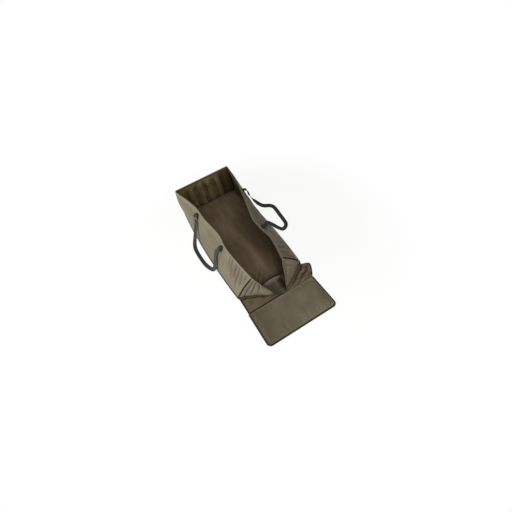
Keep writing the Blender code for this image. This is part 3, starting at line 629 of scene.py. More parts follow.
def settled(grid: Grid, held: np.ndarray, slack: float, pressure: float, cap: float) -> np.ndarray:
    """Let a sewn-down cover settle as real cloth, with Blender's cloth simulation.

    Args:
        grid: The cover as it is cut and filled.
        held: Which points are sewn down.
        slack: Share by which the cloth is longer than the pad under it.
        pressure: How hard the filling pushes.
        cap: The furthest that a point may move.
    """
    start = grid.points[::SETTLING_STEP, ::SETTLING_STEP]
    shape = start.shape
    index = np.arange(shape[0] * shape[1]).reshape(shape[:2])
    mesh = bpy.data.meshes.new("settling_cover")
    mesh.from_pydata(start.reshape(-1, 3).tolist(), [], cells_of(index).tolist())
    cover = placed("settling_cover", mesh)
    scene = bpy.context.scene
    sewn = np.flatnonzero(held[::SETTLING_STEP, ::SETTLING_STEP]).tolist()
    cover.vertex_groups.new(name="sewn").add(sewn, 1.0, "REPLACE")
    cloth = cover.modifiers.new("settling", "CLOTH")
    settings = cloth.settings
    settings.vertex_group_mass = "sewn"
    settings.quality = 5
    settings.mass = 0.15
    settings.bending_stiffness = 0.3
    settings.shrink_min = -slack
    settings.use_pressure = True
    settings.uniform_pressure_force = pressure
    settings.effector_weights.gravity = 0
    cloth.collision_settings.use_collision = False
    for frame_number in range(1, SETTLING_FRAMES + 1):
        scene.frame_set(frame_number)
    result = cover.evaluated_get(bpy.context.evaluated_depsgraph_get()).data
    found = np.empty(len(result.vertices) * 3, np.float32)
    result.vertices.foreach_get("co", found)
    bpy.data.objects.remove(cover)
    scene.frame_set(1)
    moved = found.reshape(shape).astype(float) - start
    for axis in (0, 1):
        fine = np.arange(grid.points.shape[axis])
        coarse = np.arange(moved.shape[axis]) * SETTLING_STEP
        moved = np.apply_along_axis(lambda line: np.interp(fine, coarse, line), axis, moved)
    reach = np.maximum(np.linalg.norm(moved, axis=2, keepdims=True), 1e-9)
    LOG.info("cloth settled: %.1f mm at most, %.1f mm on average", reach.max() * 1000, reach.mean() * 1000)
    return grid.points + moved / reach * cap * np.tanh(reach / cap)


def enrol(piece: bpy.types.Object, finish: Cloth, body: str | None, stands_for: Sequence[str] = ()
          ) -> bpy.types.Object:
    """Dress a piece and say which body it rides on and which nodes it stands for.

    Args:
        piece: The piece, in place.
        finish: Its finish.
        body: The body's name, or None to leave the piece on no body.
        stands_for: Nodes that it replaces.

    Returns:
        The piece.
    """
    piece.data.materials.append(finish.material())
    if body:
        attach(piece, body)
    if stands_for:
        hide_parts(*stands_for)
    LOG.info("%s: %s, %d faces, on %s", piece.name, finish.name, len(piece.data.polygons), body)
    return piece


# The cradle's form


@dataclass(frozen=True)
class CradleForm:
    """Sizes and shape of the base and the walls, and the pieces that all three walls have."""

    length: float = 1.25
    width: float = 0.60
    side_bulge: float = 0.026
    wall_height: float = 0.30
    wall_foam: float = 0.006
    shell: float = 0.0012
    liner: float = 0.0010
    belly: float = 0.015
    foot: float = 0.005
    near_inset: float = 0.018
    far_lean: float = 0.016
    gap: float = 0.0003
    hem: float = 0.014
    hem_gap: float = 0.0005
    tape: float = 0.0012
    tape_foot: float = 0.003
    tape_top: float = 0.001
    stitch_inset: float = 0.003
    near_stretch: float = 0.066
    lining_steps: tuple = (240, 48)
    run_start: float = 0.40
    left_run: float = 0.068
    right_run: float = 0.030
    left_lean: tuple = ((-0.625, 2), (-0.32, 21), (-0.12, 24), (0.12, 30), (0.28, 25.5), (0.42, 25),
                        (0.61, 28.5))
    right_lean: tuple = ((-0.625, 3), (-0.39, 10), (-0.01, 28.5), (0.13, 35.5), (0.28, 34.5), (0.42, 31),
                         (0.61, 36))
    left_gathers: tuple = (
        (0.392, 0.55, 0.013, -0.05), (0.420, 0.25, 0.014, -0.06), (0.462, 0.40, 0.016, -0.06),
        (0.492, 0.15, 0.014, -0.05), (0.530, 0.35, 0.016, -0.05), (0.567, 0.55, 0.013, -0.04),
    )
    right_pulls: tuple = (
        (0.577, 0.10, 0.010, 0.012), (0.552, 0.45, 0.013, 0.03), (0.505, 0.52, 0.016, 0.05),
    )

    @property
    def half_length(self) -> float:
        """Half the base's length."""
        return self.length / 2

    @property
    def wall_half(self) -> float:
        """From a wall's middle to its outer face."""
        return self.wall_foam / 2 + self.gap + self.shell

    @property
    def wall_near(self) -> float:
        """Where the side walls end, by the flap."""
        return self.half_length - self.near_inset

    @property
    def wall_far(self) -> float:
        """Where the side walls start, at the far end."""
        return -self.half_length - self.wall_half

    @property
    def tape_span(self) -> tuple[float, float]:
        """How far up a wall's cloth its corner tapes start and end."""
        return self.foot + self.tape_foot, self.wall_height - self.hem - self.tape_top

    def rise(self, w: float) -> float:
        """Length up a wall's cloth for w from 0 to 1."""
        return mix(self.foot, self.wall_height, w)

    def lean_back(self, rise: float) -> float:
        """How far the far wall stands out past its foot at a length up its cloth."""
        return self.far_lean * rise / self.wall_height

    def half_width(self, x: float) -> float:
        """Half the base's width at a place along the mat."""
        return self.width / 2 + self.side_bulge * (1 - (x / self.half_length) ** 2)

    def lie(self, side: Side, x: float, rise: float) -> tuple[Vector, Vector]:
        """Point and outward direction of a side wall's middle, before its creases.

        Args:
            side: Which wall.
            x: Place along the mat.
            rise: Length up the cloth.

        Returns:
            The point and the direction.
        """
        lean = math.radians(through_knots(self.left_lean if side is Side.LEFT else self.right_lean, x))
        run = self.left_run if side is Side.LEFT else self.right_run
        out = Vector((0, side.value * math.cos(lean), math.sin(lean)))
        up = Vector((0, -side.value * math.sin(lean), math.cos(lean)))
        share = rise / self.wall_height
        held = clamp(x, -self.half_length, self.half_length)
        foot = Vector((x, side.value * self.half_width(held), 0))
        run_out = run * share * climb(x, self.run_start, self.wall_near - self.run_start)
        belly = self.belly * math.sin(math.pi * clamp(share))
        return foot + up * rise + out * belly + Vector((run_out, 0, 0)), out

    def valleys(self, side: Side, x: float, rise: float) -> float:
        """Depth, from 0 to 1, of the sharp folds that run down a side wall."""
        share = rise / self.wall_height
        left = side is Side.LEFT
        sway, waves, shift = (0.004, 9, 40) if left else (0.005, 7, 30)
        start, top, end = (0.30, 0.97, 0.05) if left else (0.20, 0.95, 0.04)
        found = 0.0
        for place, low, width, slant in self.left_gathers if left else self.right_pulls:
            line = place - slant * (1 - share) + sway * math.sin(share * waves + place * shift)
            run = climb(share, low, start) * sink(share, top, end)
            found = max(found, hump(x, line, width) * run)
        if not left:
            return found
        line = 0.268 - 0.036 * (1 - share) + 0.003 * math.sin(share * 11)
        within = sink(share, 0.78, 0.1) * climb(share, 0.2, 0.3)
        return max(found, 0.6 * hump(x, line, 0.013) * within)

    def crease(self, side: Side, x: float, rise: float) -> float:
        """How far a side wall's cloth stands out at its gathers and creases."""
        share = rise / self.wall_height
        held = ease(share / 0.16) * sink(share, 1.0, 0.10)
        calm = 1 - hump(abs(x), 0.245, 0.05) * climb(share, 0.60, 0.12)
        slack = 0.0014 * rough(x * 5.5, rise * 7, 3.0 + side.value) + 0.0006 * rough(x * 19, rise * 13, 9.0)
        fold = -0.0065 * self.valleys(side, x, rise)
        if side is Side.LEFT:
            near = climb(x, 0.36, 0.14)
            puff = 0.0040 * near * climb(share, 0.35, 0.4) * rough(x * 31 + rise * 3.5, rise * 2.2, 21.0)
            return held * calm * (slack + puff + fold)
        near = climb(x, 0.44, 0.10)
        pull = 0.0040 * near * rough(x * 18 - rise * 8, rise * 7 + x * 6, 33.0)
        rumple = 0.0036 * climb(x, 0.10, 0.25) * rough(x * 26, rise * 24, 37.0)
        sag = 0.0042 * rough(x * 11, rise * 6, 41.0) * ease((x + 0.45) / 0.3)
        bulge = 0.010 * hump(x, 0.44, 0.22) * hump(share, 0.30, 0.32)
        return held * calm * (slack + pull + rumple + sag + bulge + fold)

    def wall(self, side: Side, x: float, rise: float, depth: float) -> Vector:
        """Point of a side wall at a depth out of its middle, creases and all."""
        point, out = self.lie(side, x, rise)
        return point + out * (depth + self.crease(side, x, rise))

    def past_near_edge(self, side: Side, rise: float, depth: float, along: float) -> Vector:
        """Point a short way past a side wall's near edge, or behind it."""
        edge = self.wall(side, self.wall_near, rise, depth)
        before = self.lie(side, self.wall_near - self.near_stretch, rise)[0]
        flat_edge = self.lie(side, self.wall_near, rise)[0]
        return edge + (flat_edge - before).normalized() * along

    def far(self, share: float, rise: float, depth: float) -> Vector:
        """Point of the far wall, at a share of its width from left to right."""
        held = ease(rise / 0.06) * sink(rise, self.wall_height, 0.05)
        slack = 0.0022 * rough(share * 5, rise * 8, 55.0) * held
        x = -self.half_length - self.lean_back(rise) - depth - slack
        inner = -self.half_length + self.wall_half
        clear = -self.wall_half - self.hem_gap
        low = self.lie(Side.LEFT, inner, rise)
        high = self.lie(Side.RIGHT, inner, rise)
        a, b = low[0] + low[1] * clear, high[0] + high[1] * clear
        return Vector((x, mix(a.y, b.y, share), mix(a.z, b.z, share)))

    def fold_over(self, gap: float, leg: float) -> list[tuple[float, float]]:
        """Section of cloth folded over a wall's edge: points out of the layers and along them."""
        side = self.wall_half + gap + self.tape / 2
        arch = [(side * math.cos(math.radians(a)), gap + self.tape * math.sin(math.radians(a)))
                for a in range(0, 181, 20)]
        return [(side, -leg)] + arch + [(-side, -leg)]

    def build_padding(self, name: str, point: WallPlace, steps: tuple[int, int], fold: Tone, rub: Tone
                      ) -> bpy.types.Object:
        """Build a wall's padded panel.

        Args:
            name: The wall's side.
            point: Point of the wall for u, a length up its cloth and a depth out of its middle.
            steps: Steps of the grid along and up.
            fold: Its painted shade and light.
            rub: How rubbed it is.

        Returns:
            The panel.
        """
        def at(depth: float) -> Place:
            return lambda u, w: point(u, self.rise(w), depth)

        outer = Grid.of(at(self.wall_half), *steps, fold, rub)
        inner = Grid.of(at(-self.wall_foam / 2), *steps)
        panel = outer.closed(f"{name}_wall_panel", inner.points, outer.points)
        enrol(panel, PACK_CLOTH, "cradle", [f"{name}_wall_shell", f"{name}_wall_foam"])
        return panel

    def build_lining(self, name: str, point: WallPlace, fold: Tone) -> bpy.types.Object:
        """Build a wall's lining, from the same kinds of values as its padding."""
        depth = -self.wall_foam / 2 - self.gap - self.liner / 2
        grid = Grid.of(lambda u, w: point(u, self.rise(w), depth), *self.lining_steps, fold)
        return enrol(grid.sheet(f"{name}_wall_liner", self.liner), WALL_LINING, "cradle",
                     [f"{name}_wall_lining"])

    def build_rim(self, name: str, point: WallPlace, facing: Callable[[float], Vector],
                  steps: tuple[int, int], count: int, ripple: float) -> bpy.types.Object:
        """Build the cloth folded over a wall's rim, with its two rows of stitches.

        Args:
            name: The wall's side.
            point: Point of the wall for u, a length up its cloth and a depth out of its middle.
            facing: Direction out of the wall's rim for u.
            steps: Steps of the cloth's grid.
            count: Steps of the rows of stitches.
            ripple: Share by which the cloth swells and shrinks along the rim.

        Returns:
            The folded cloth.
        """
        section = self.fold_over(self.hem_gap, self.hem)

        def over(u: float, w: float) -> Vector:
            depth, rise = along_line(section, w)
            return point(u, self.wall_height + rise, depth * (1 + ripple * rough(u * 60, w * 3, 71.0)))

        hem = Grid.of(over, *steps, rim_painted_shade, lambda u, w: 0.35).sheet(f"{name}_rim_fold", self.tape)
        enrol(hem, PACK_CLOTH, "cradle", [f"{name}_rim_hem"])
        for label, sign in (("outer", 1), ("inner", -1)):
            depth = sign * (self.wall_half + self.hem_gap + self.tape)
            rise = self.wall_height - self.hem + self.stitch_inset
            track = [(point(i / count, rise, depth), facing(i / count) * sign) for i in range(count + 1)]
            enrol(stitches(f"{name}_rim_stitches_{label}", track), THREAD, "cradle")
        return hem


# Sub-assemblies


@dataclass
class FloorPad:
    """The soft floor of the cradle, and the sheet under it."""

    form: CradleForm
    ground: float = 0.0012
    overhang: float = 0.0045
    foam: float = 0.020
    edge: float = 0.013
    roll: float = 0.060
    inset: float = 0.019
    far_inset: float = 0.016
    near_inset: float = 0.020
    lining: float = 0.0010
    sewn: float = 0.010
    steps: tuple = (220, 104)
    painted_highlight_line: tuple = ((-0.62, 0.03), (-0.11, -0.035), (0.15, -0.03), (0.40, 0.04), (0.61, 0.02))

    def outline(self, u: float, w: float, far: float, near: float, inset: float) -> tuple[float, float]:
        """Place inside the base's outline for u and w from 0 to 1."""
        half = self.form.half_length
        x = mix(-half + far, half - near, u)
        return x, (2 * w - 1) * (self.form.half_width(x) - inset)

    def spot(self, u: float, w: float) -> tuple[float, float]:
        """Place inside the pad's own outline."""
        return self.outline(u, w, self.far_inset, self.near_inset, self.inset)

    def height(self, u: float, w: float) -> float:
        """Height of the pad's top, swollen between its sewn edges and rumpled by use."""
        from_x = min(u, 1 - u) * self.form.length
        from_y = min(w, 1 - w) * self.form.width
        swell = ease(from_x / self.roll) * ease(from_y / self.roll)
        x, y = self.spot(u, w)
        soft = 0.0030 * rough(x * 3.2, y * 7.5, 7.0) + 0.0010 * rough(x * 9, y * 17, 8.0)
        top = self.ground + 2 * self.form.gap + mix(self.edge, self.foam, swell) + self.lining
        return top + swell * (soft + self.rumple(x, y))

    def fold(self, u: float, w: float) -> float:
        """Painted shade and light: darker towards the sewn edges, in the creases, to the right of a painted
        highlight streak and at the near end.
        """
        from_x = min(u, 1 - u) * self.form.length
        from_y = min(w, 1 - w) * self.form.width
        # Painted shade and light: darker at the sewn edges, to the right of the line, at the near end and in
        # the creases; a painted highlight streak along the line.
        edge = mix(0.45, 1.0, ease(min(from_x, from_y) / 0.05))
        x, y = self.spot(u, w)
        line = through_knots(self.painted_highlight_line, x)
        streak = 0.14 * hump(y, line, 0.085)
        right = 0.46 * ease((y - line - 0.035) / 0.085) * ease((x + 0.45) / 0.6)
        near = 0.22 * climb(x, 0.42, 0.16)
        shallow = (self.rumple(x - 0.010, y - 0.007) + self.rumple(x + 0.010, y + 0.007)) / 2
        dip = 0.40 * clamp((shallow - self.rumple(x, y)) / 0.0014)
        return edge * (1 + streak - right) * (1 - near) * (1 - dip)

    @staticmethod
    def rumple(x: float, y: float) -> float:
        """Height of the creases at the near left corner of the floor."""
        corner = climb(x, 0.42, 0.12) * sink(y, 0.05, 0.10)
        return 0.0046 * corner * rough(x * 34 + y * 26, x * 8 - y * 12, 12.0)

    def build(self) -> None:
        """Build the ground sheet and the padded floor."""
        def sheet(u: float, w: float) -> Vector:
            x, y = self.outline(u, w, -self.overhang, 0, -self.overhang)
            return Vector((x, y, self.ground / 2))

        def low(u: float, w: float) -> Vector:
            return Vector((*self.spot(u, w), self.ground + self.form.gap))

        def high(u: float, w: float) -> Vector:
            return Vector((*self.spot(u, w), self.height(u, w)))

        ground = Grid.of(sheet, along=60, across=24).sheet("ground_cloth", self.ground)
        enrol(ground, TARPAULIN, "cradle", ["ground_sheet"])
        top = Grid.of(high, *self.steps, self.fold)
        laid = settled(top, top.from_edge() < self.sewn, slack=0.006, pressure=1.0, cap=0.0030)
        pad = top.closed("floor_pad", Grid.of(low, *self.steps).points, laid, rings=3)
        enrol(pad, FLOOR_NAP, "cradle", ["floor_foam", "floor_lining"])


@dataclass
class SideWall:
    """One long padded wall with its lining, rim, corner bindings and seams."""

    form: CradleForm
    side: Side
    corner_tape: float = 0.012
    corner_gap: float = 0.0009
    seam_leg: float = 0.006
    rim_inset: float = 0.002
    steps: tuple = (240, 48)
    rim_steps: tuple = (240, 24)
    stitch_steps: int = 300

    @property
    def name(self) -> str:
        """The wall's side in words."""
        return self.side.name.lower()

    def station(self, u: float, rise: float) -> float:
        """Place along the mat for u from 0 to 1, as far back as the far wall leans there."""
        return mix(self.form.wall_far - self.form.lean_back(rise), self.form.wall_near, u)

    def fold(self, u: float, w: float) -> float:
        """Painted shade: darker in the creases and at the sewn foot; the right wall darker still, most
        towards its far end, and the left wall dimmed a little, each with a random mottle.
        """
        rise = self.form.rise(w)
        x = self.station(u, rise)
        out = self.form.crease(self.side, x, rise)
        level = sum(self.form.crease(self.side, x + step, rise) for step in (-0.012, 0.012)) / 2
        dip = clamp((level - out) / 0.0022)
        foot = mix(0.62, 1.0, ease(rise / 0.03))
        shade = (1 - 0.22 * dip) * (1 - 0.26 * self.form.valleys(self.side, x, rise)) * foot
        # Painted shade that differs by side: the right wall darker, most towards its far end, the left wall
        # dimmed a little; the mottle is random tone.
        if self.side is Side.RIGHT:
            broad, fine = rough(x * 34, rise * 40, 45.0), rough(x * 80 + rise * 55, rise * 62, 46.0)
            mottled = 1 + 0.15 * broad + 0.15 * fine
            return shade * mix(0.66, 0.88, ease((x + 0.1) / 0.6)) * mottled
        return shade * (0.86 + 0.06 * rough(x * 11, rise * 13, 47.0))

    @staticmethod
    def rub(u: float, w: float) -> float:
        """Rubbed just below the rim."""
        return 0.5 * climb(w, 0.80, 0.12)

    def build(self) -> None:
        """Build the wall's pieces."""
        form = self.form
        first = -form.half_length + form.wall_half + self.rim_inset - form.far_lean

        def at(u: float, rise: float, depth: float) -> Vector:
            return form.wall(self.side, self.station(u, rise), rise, depth)

        def rim_x(u: float) -> float:
            return max(first, self.station(u, form.wall_height))

        def at_rim(u: float, rise: float, depth: float) -> Vector:
            return form.wall(self.side, rim_x(u), rise, depth)

        def facing(u: float) -> Vector:
            return form.lie(self.side, rim_x(u), form.wall_height)[1]

        panel = form.build_padding(self.name, at, self.steps, self.fold, self.rub)
        lining = form.build_lining(self.name, at, self.fold)
        hem = form.build_rim(self.name, at_rim, facing, self.rim_steps, self.stitch_steps, ripple=0.1)
        near = self.build_near_tape()
        far = self.build_far_tape()

    def build_near_tape(self) -> bpy.types.Object:
        """Build the binding folded round the wall's near end."""
        form = self.form
        section = form.fold_over(self.corner_gap, self.seam_leg)

        def place(u: float, w: float) -> Vector:
            depth, along = along_line(section, w)
            return form.past_near_edge(self.side, mix(*form.tape_span, u), depth, along)

        tape = Grid.of(place, along=60, across=24).sheet(f"near_{self.name}_corner_binding", form.tape)
        return enrol(tape, BINDING, "cradle", [f"near_{self.name}_corner_tape"])

    def build_far_tape(self) -> bpy.types.Object:
        """Build the tape in the far inside corner."""
        form = self.form
        off = self.corner_gap + form.tape / 2
        inside = -form.half_length + form.wall_half

        def place(u: float, w: float) -> Vector:
            rise = mix(*form.tape_span, u)
            x = inside + off - form.lean_back(rise)
            corner = form.wall(self.side, x, rise, -form.wall_half - off)
            on_side = form.wall(self.side, x + self.corner_tape, rise, -form.wall_half - off)
            on_far = corner - Vector((0, self.side.value * self.corner_tape, 0))
            return Vector(along_line((on_side, corner, on_far), w))

        tape = Grid.of(place, along=60, across=12).sheet(f"far_{self.name}_corner_binding", form.tape)
        return enrol(tape, BINDING, "cradle", [f"far_{self.name}_corner_tape"])


@dataclass
class FarWall:
    """The padded far wall, whose lining is gathered into upright pleats."""

    form: CradleForm
    pleats: int = 6
    pleat_depth: float = 0.012
    top_inset: float = 0.003
    steps: tuple = (150, 60)
    rim_steps: tuple = (120, 28)
    stitch_steps: int = 120

    def pleat(self, share: float, rise: float) -> float:
        """How far the gathered lining stands in from the foam."""
        middle = ease(min(share, 1 - share) / 0.22)
        top = ease((self.form.wall_height - self.form.hem - self.top_inset - rise) / 0.05)
        waver = 0.018 * rough(rise * 9, share * 4, 61.0)
        phase = self.pleats * (share + waver)
        wave = (0.5 - 0.5 * math.cos(2 * math.pi * phase)) ** 1.5
        fine = 0.0022 * (0.5 + 0.5 * rough(share * 70 + rise * 5, rise * 3, 63.0))
        deep = self.pleat_depth * (0.80 + 0.30 * rough(math.floor(phase) * 1.7, 0.5, 4.0))
        return middle * top * (deep * wave + fine)

    def fold(self, u: float, w: float) -> float:
        """Painted shade: darker between the pleats, towards both corners and at the foot."""
        rise = self.form.rise(w)
        here = self.pleat(u, rise)
        level = (self.pleat(max(u - 0.035, 0), rise) + self.pleat(min(u + 0.035, 1), rise)) / 2
        between = clamp((level - here) / 0.0035)
        corner = 0.65 * climb(u, 0.70, 0.16) + 0.30 * sink(u, 0.10, 0.08)
        return (1 - 0.68 * between) * (1 - corner) * mix(0.45, 1.0, ease(rise / 0.05))

    def build(self) -> None:
        """Build the far wall's pieces."""
        form = self.form

        def pleated(u: float, rise: float, depth: float) -> Vector:
            return form.far(u, rise, depth - self.pleat(u, rise))

        panel = form.build_padding("far", form.far, self.steps, plain,
                                   lambda u, w: 0.7 * climb(w, 0.86, 0.12))
        lining = form.build_lining("far", pleated, self.fold)
        hem = form.build_rim("far", form.far, lambda u: Vector((-1, 0, 0)), self.rim_steps,
                             self.stitch_steps, ripple=0.0)


@dataclass
class BasePiping:
    """The welt in the seam between the walls and the ground sheet."""

    form: CradleForm
    radius: float = 0.0025
    bend_clear: float = 0.0012
    steps: int = 120
    around: int = 10

    def path(self) -> list[Vector]:
        """Middle of the welt, from the near left end round the far wall to the near right end."""
        form = self.form
        out = form.wall_half + self.radius + 2 * form.gap
        bend = self.radius + self.bend_clear
        far_x = -form.half_length - out
        path = []
        for i in range(self.steps + 1):
            x = mix(form.wall_near, far_x + bend, i / self.steps)
            path.append((x, -form.half_width(max(x, -form.half_length)) - out))
        side_y = path[-1][1]
        for degrees in (30, 60, 90):
            angle = math.radians(degrees)
            path.append((far_x + bend * (1 - math.sin(angle)), side_y + bend * (1 - math.cos(angle))))
        path += [(x, -y) for x, y in reversed(path)]
        return [Vector((x, y, self.radius + form.gap)) for x, y in path]

    def build(self) -> None:
        """Build the welt as one swept tube."""
        centres, around = self.path(), self.around
        rings, faces = [], []
        for i, centre in enumerate(centres):
            ahead = (centres[min(i + 1, len(centres) - 1)] - centres[max(i - 1, 0)]).normalized()
            across = ahead.cross(Vector((0, 0, 1)))
            for k in range(around):
                angle = 2 * math.pi * k / around
                facing = across * math.cos(angle) + Vector((0, 0, math.sin(angle)))
                rings.append(centre + facing * self.radius)
        for i in range(len(centres) - 1):
            for k in range(around):
                a, b = i * around + k, i * around + (k + 1) % around
                faces.append([a, b, b + around, a + around])
        faces += [list(range(around)), list(range(len(rings) - around, len(rings)))]
        points = np.array([tuple(p) for p in rings])
        ones = np.ones(len(points))
        welt = body_of("base_welt", points, faces, points, ones, ones * 0.3)
        enrol(welt, BINDING, "cradle", ["base_piping"])


@dataclass
class EndWall:
    """The unpadded near wall, which has slumped outwards over the strip."""

    form: CradleForm
    cloth: float = 0.0012
    hem_spans: tuple = (("left", 0.02, 0.40), ("right", 0.62, 0.98))
    hem_rise: tuple = (0.90, 0.995)
    edge_gap: float = 0.0009
    rim_drop: float = 0.002
    steps: tuple = (160, 84)
    seam_shares: tuple = (0.0, 0.035, 0.07, 0.13, 0.56, 1.0)
    rows: tuple = (
        ((0.614, -0.240, 0.004), (0.614, -0.170, 0.004), (0.614, -0.100, 0.004), (0.614, -0.035, 0.004),
         (0.614, 0.040, 0.004), (0.614, 0.105, 0.004), (0.614, 0.170, 0.004), (0.614, 0.240, 0.004)),
        ((0.626, -0.238, 0.007), (0.634, -0.168, 0.012), (0.640, -0.098, 0.024), (0.642, -0.034, 0.034),
         (0.643, 0.042, 0.036), (0.642, 0.102, 0.028), (0.638, 0.168, 0.014), (0.630, 0.238, 0.008)),
        ((0.640, -0.236, 0.008), (0.664, -0.166, 0.009), (0.690, -0.097, 0.012), (0.706, -0.032, 0.017),
         (0.712, 0.044, 0.018), (0.704, 0.100, 0.014), (0.682, 0.166, 0.009), (0.652, 0.236, 0.008)),
        ((0.648, -0.232, 0.016), (0.680, -0.162, 0.016), (0.722, -0.093, 0.014), (0.752, -0.030, 0.010),
         (0.760, 0.046, 0.010), (0.742, 0.100, 0.014), (0.704, 0.164, 0.016), (0.662, 0.232, 0.016)),
        ((0.678, -0.176, 0.120), (0.702, -0.132, 0.090), (0.734, -0.084, 0.056), (0.762, -0.028, 0.013),
         (0.770, 0.048, 0.013), (0.750, 0.084, 0.052), (0.716, 0.126, 0.088), (0.676, 0.165, 0.118)),
        ((0.700, -0.130, 0.205), (0.719, -0.106, 0.152), (0.743, -0.074, 0.098), (0.771, -0.026, 0.015),
         (0.779, 0.050, 0.015), (0.757, 0.070, 0.075), (0.724, 0.088, 0.135), (0.684, 0.104, 0.192)),
    )
    pulls: tuple = ((0.040, 0.56, 0.018, 0.05), (0.092, 0.60, 0.020, 0.10), (0.165, 0.66, 0.024, 0.14),
                    (0.930, 0.72, 0.018, -0.04))
    curves: list = field(default_factory=list)

    def __post_init__(self) -> None:
        """Join each row to the near corner seams at its two ends."""
        for share, row in zip(self.seam_shares, self.rows):
            rise = mix(self.form.foot, self.form.wall_height - self.rim_drop, share)
            along = self.edge_gap + 3 * self.form.tape
            ends = [self.form.past_near_edge(side, rise, 0, along) for side in Side]
            self.curves.append([ends[0]] + [Vector(p) for p in row] + [ends[1]])

    def smooth(self, u: float, w: float) -> Vector:
        """Point of the cloth before its wrinkles, u across and w up from its foot."""
        return through([through(row, u) for row in self.curves], w)

    def normal(self, u: float, w: float) -> Vector:
        """Direction out of the cloth."""
        step = 0.004
        across = self.smooth(min(u + step, 1), w) - self.smooth(max(u - step, 0), w)
        along = self.smooth(u, min(w + step, 1)) - self.smooth(u, max(w - step, 0))
        return across.cross(along).normalized()

    def gathers(self, u: float, w: float) -> float:
        """Depth, from 0 to 1, of the short folds that run down from the rim."""
        found = 0.0
        for place, low, width, slant in self.pulls:
            line = place + slant * (1 - w) + 0.005 * math.sin(w * 13 + place * 60)
            found = max(found, hump(u, line, width) * climb(w, low, 0.25) * sink(w, 1.0, 0.05))
        return found

    def wrinkle(self, u: float, w: float) -> float:
        """How far the cloth stands out at its wrinkles."""
        held = ease(w / 0.15) * ease(min(u, 1 - u) / 0.03)
        slack = 0.0018 * rough(u * 9, w * 5, 81.0)
        middle = 0.0045 * hump(u, 0.5, 0.22) * climb(w, 0.28, 0.15) * rough(u * 30 + w * 6, w * 17, 85.0)
        crest = 0.008 * hump(u, 0.5, 0.24) * hump(w, 0.15, 0.12)
        return held * (slack + middle - crest - 0.0050 * self.gathers(u, w))

    def point(self, u: float, w: float) -> Vector:
        """Point of the cloth, wrinkles and all."""
        return self.smooth(u, w) + self.normal(u, w) * self.wrinkle(u, w)

    def fold(self, u: float, w: float) -> float:
        """Painted shade and light: darker in the wrinkles, at the fold by the ground, below it, in the
        hollow at the middle and along its two dark inner edges; lighter on the raised crest and the upper
        facets.
        """
        level = (self.wrinkle(max(u - 0.02, 0), w) + self.wrinkle(min(u + 0.02, 1), w)) / 2
        dip = clamp((level - self.wrinkle(u, w)) / 0.002)
        # Painted shade: foot, under, hollow, left and right darken the fold by the ground, the cloth below
        # it, the middle hollow and the two inner edges; crest and facet are painted light on the raised
        # crest and the upper facets.
        middle = ease((0.135 - abs(u - 0.51)) / 0.04)
        foot = 0.90 * hump(w, 0.610, 0.060) * sink(u, 0.36, 0.10) * climb(u, 0.02, 0.03)
        under = 0.40 * sink(w, 0.57, 0.06) * (1 - middle)
        crest = 0.95 * hump(w, 0.155, 0.085) * middle
        streaks = 1 - 0.45 * hump(u, 0.525, 0.035) + 0.25 * rough(u * 60, w * 6, 87.0)
        hollow = 0.60 * middle * climb(w, 0.21, 0.09) * streaks
        left = 0.80 * hump(u, 0.395, 0.030) * climb(w, 0.35, 0.1)
        right = 0.92 * hump(u, 0.600, 0.065) * climb(w, 0.18, 0.10) * sink(w, 0.97, 0.06)
        facet = 0.25 * climb(w, 0.62, 0.05) * (1 - middle)
        tone = (1 - 0.30 * dip) * (1 - 0.36 * self.gathers(u, w)) * (1 - foot) * (1 - hollow)
        return tone * (1 - left) * (1 - right) * (1 - under) * (1 + crest) * (1 + facet)

    def build(self) -> None:
        """Build the cloth and the hems behind its two slanting rims."""
        grid = Grid.of(self.point, *self.steps, self.fold, lambda u, w: 0.9 * climb(w, 0.93, 0.06))
        wall = grid.sheet("end_wall_cloth", self.cloth)
        enrol(wall, PACK_CLOTH, None, ["end_wall"])
        self.bend(wall)
        off = self.cloth / 2 + self.edge_gap + self.form.tape / 2
        for name, start, end in self.hem_spans:
            def place(u: float, w: float, start: float = start, end: float = end) -> Vector:
                across, up = mix(start, end, u), mix(*self.hem_rise, w)
                return self.point(across, up) + self.normal(across, up) * off
            hem = Grid.of(place, along=90, across=10).sheet(f"end_wall_{name}_fold", self.form.tape)
            enrol(hem, PACK_CLOTH, None, [f"end_wall_{name}_hem"])
            self.bend(hem)

    @staticmethod
    def bend(piece: bpy.types.Object) -> None:
        """Bake the piece's placement into its mesh."""
        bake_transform(piece)


@dataclass
class BoundPiece:
    """What the strip and the flap have in common: a cloth on the ground with bound edges."""

    cloth: float = 0.0012
    lift: float = 0.0015
    band: float = 0.011
    tape: float = 0.0012
    edge_tape: float = 0.009
    gap: float = 0.0003
    edge_gap: float = 0.0009

    def section(self, low: float, high: float) -> tuple:
        """Section of a binding, as its reach past the edge and its height.

        Args:
            low: Height of its middle under the edge.
            high: Height of its middle over the edge.

        Returns:
            The section's points, from under the edge round to over it.
        """
        out = self.edge_gap + self.tape
        return ((-self.edge_tape, low), (self.edge_gap, low), (out, mix(low, high, 0.25)),
                (out, mix(low, high, 0.75)), (self.edge_gap, high), (-self.edge_tape, high))


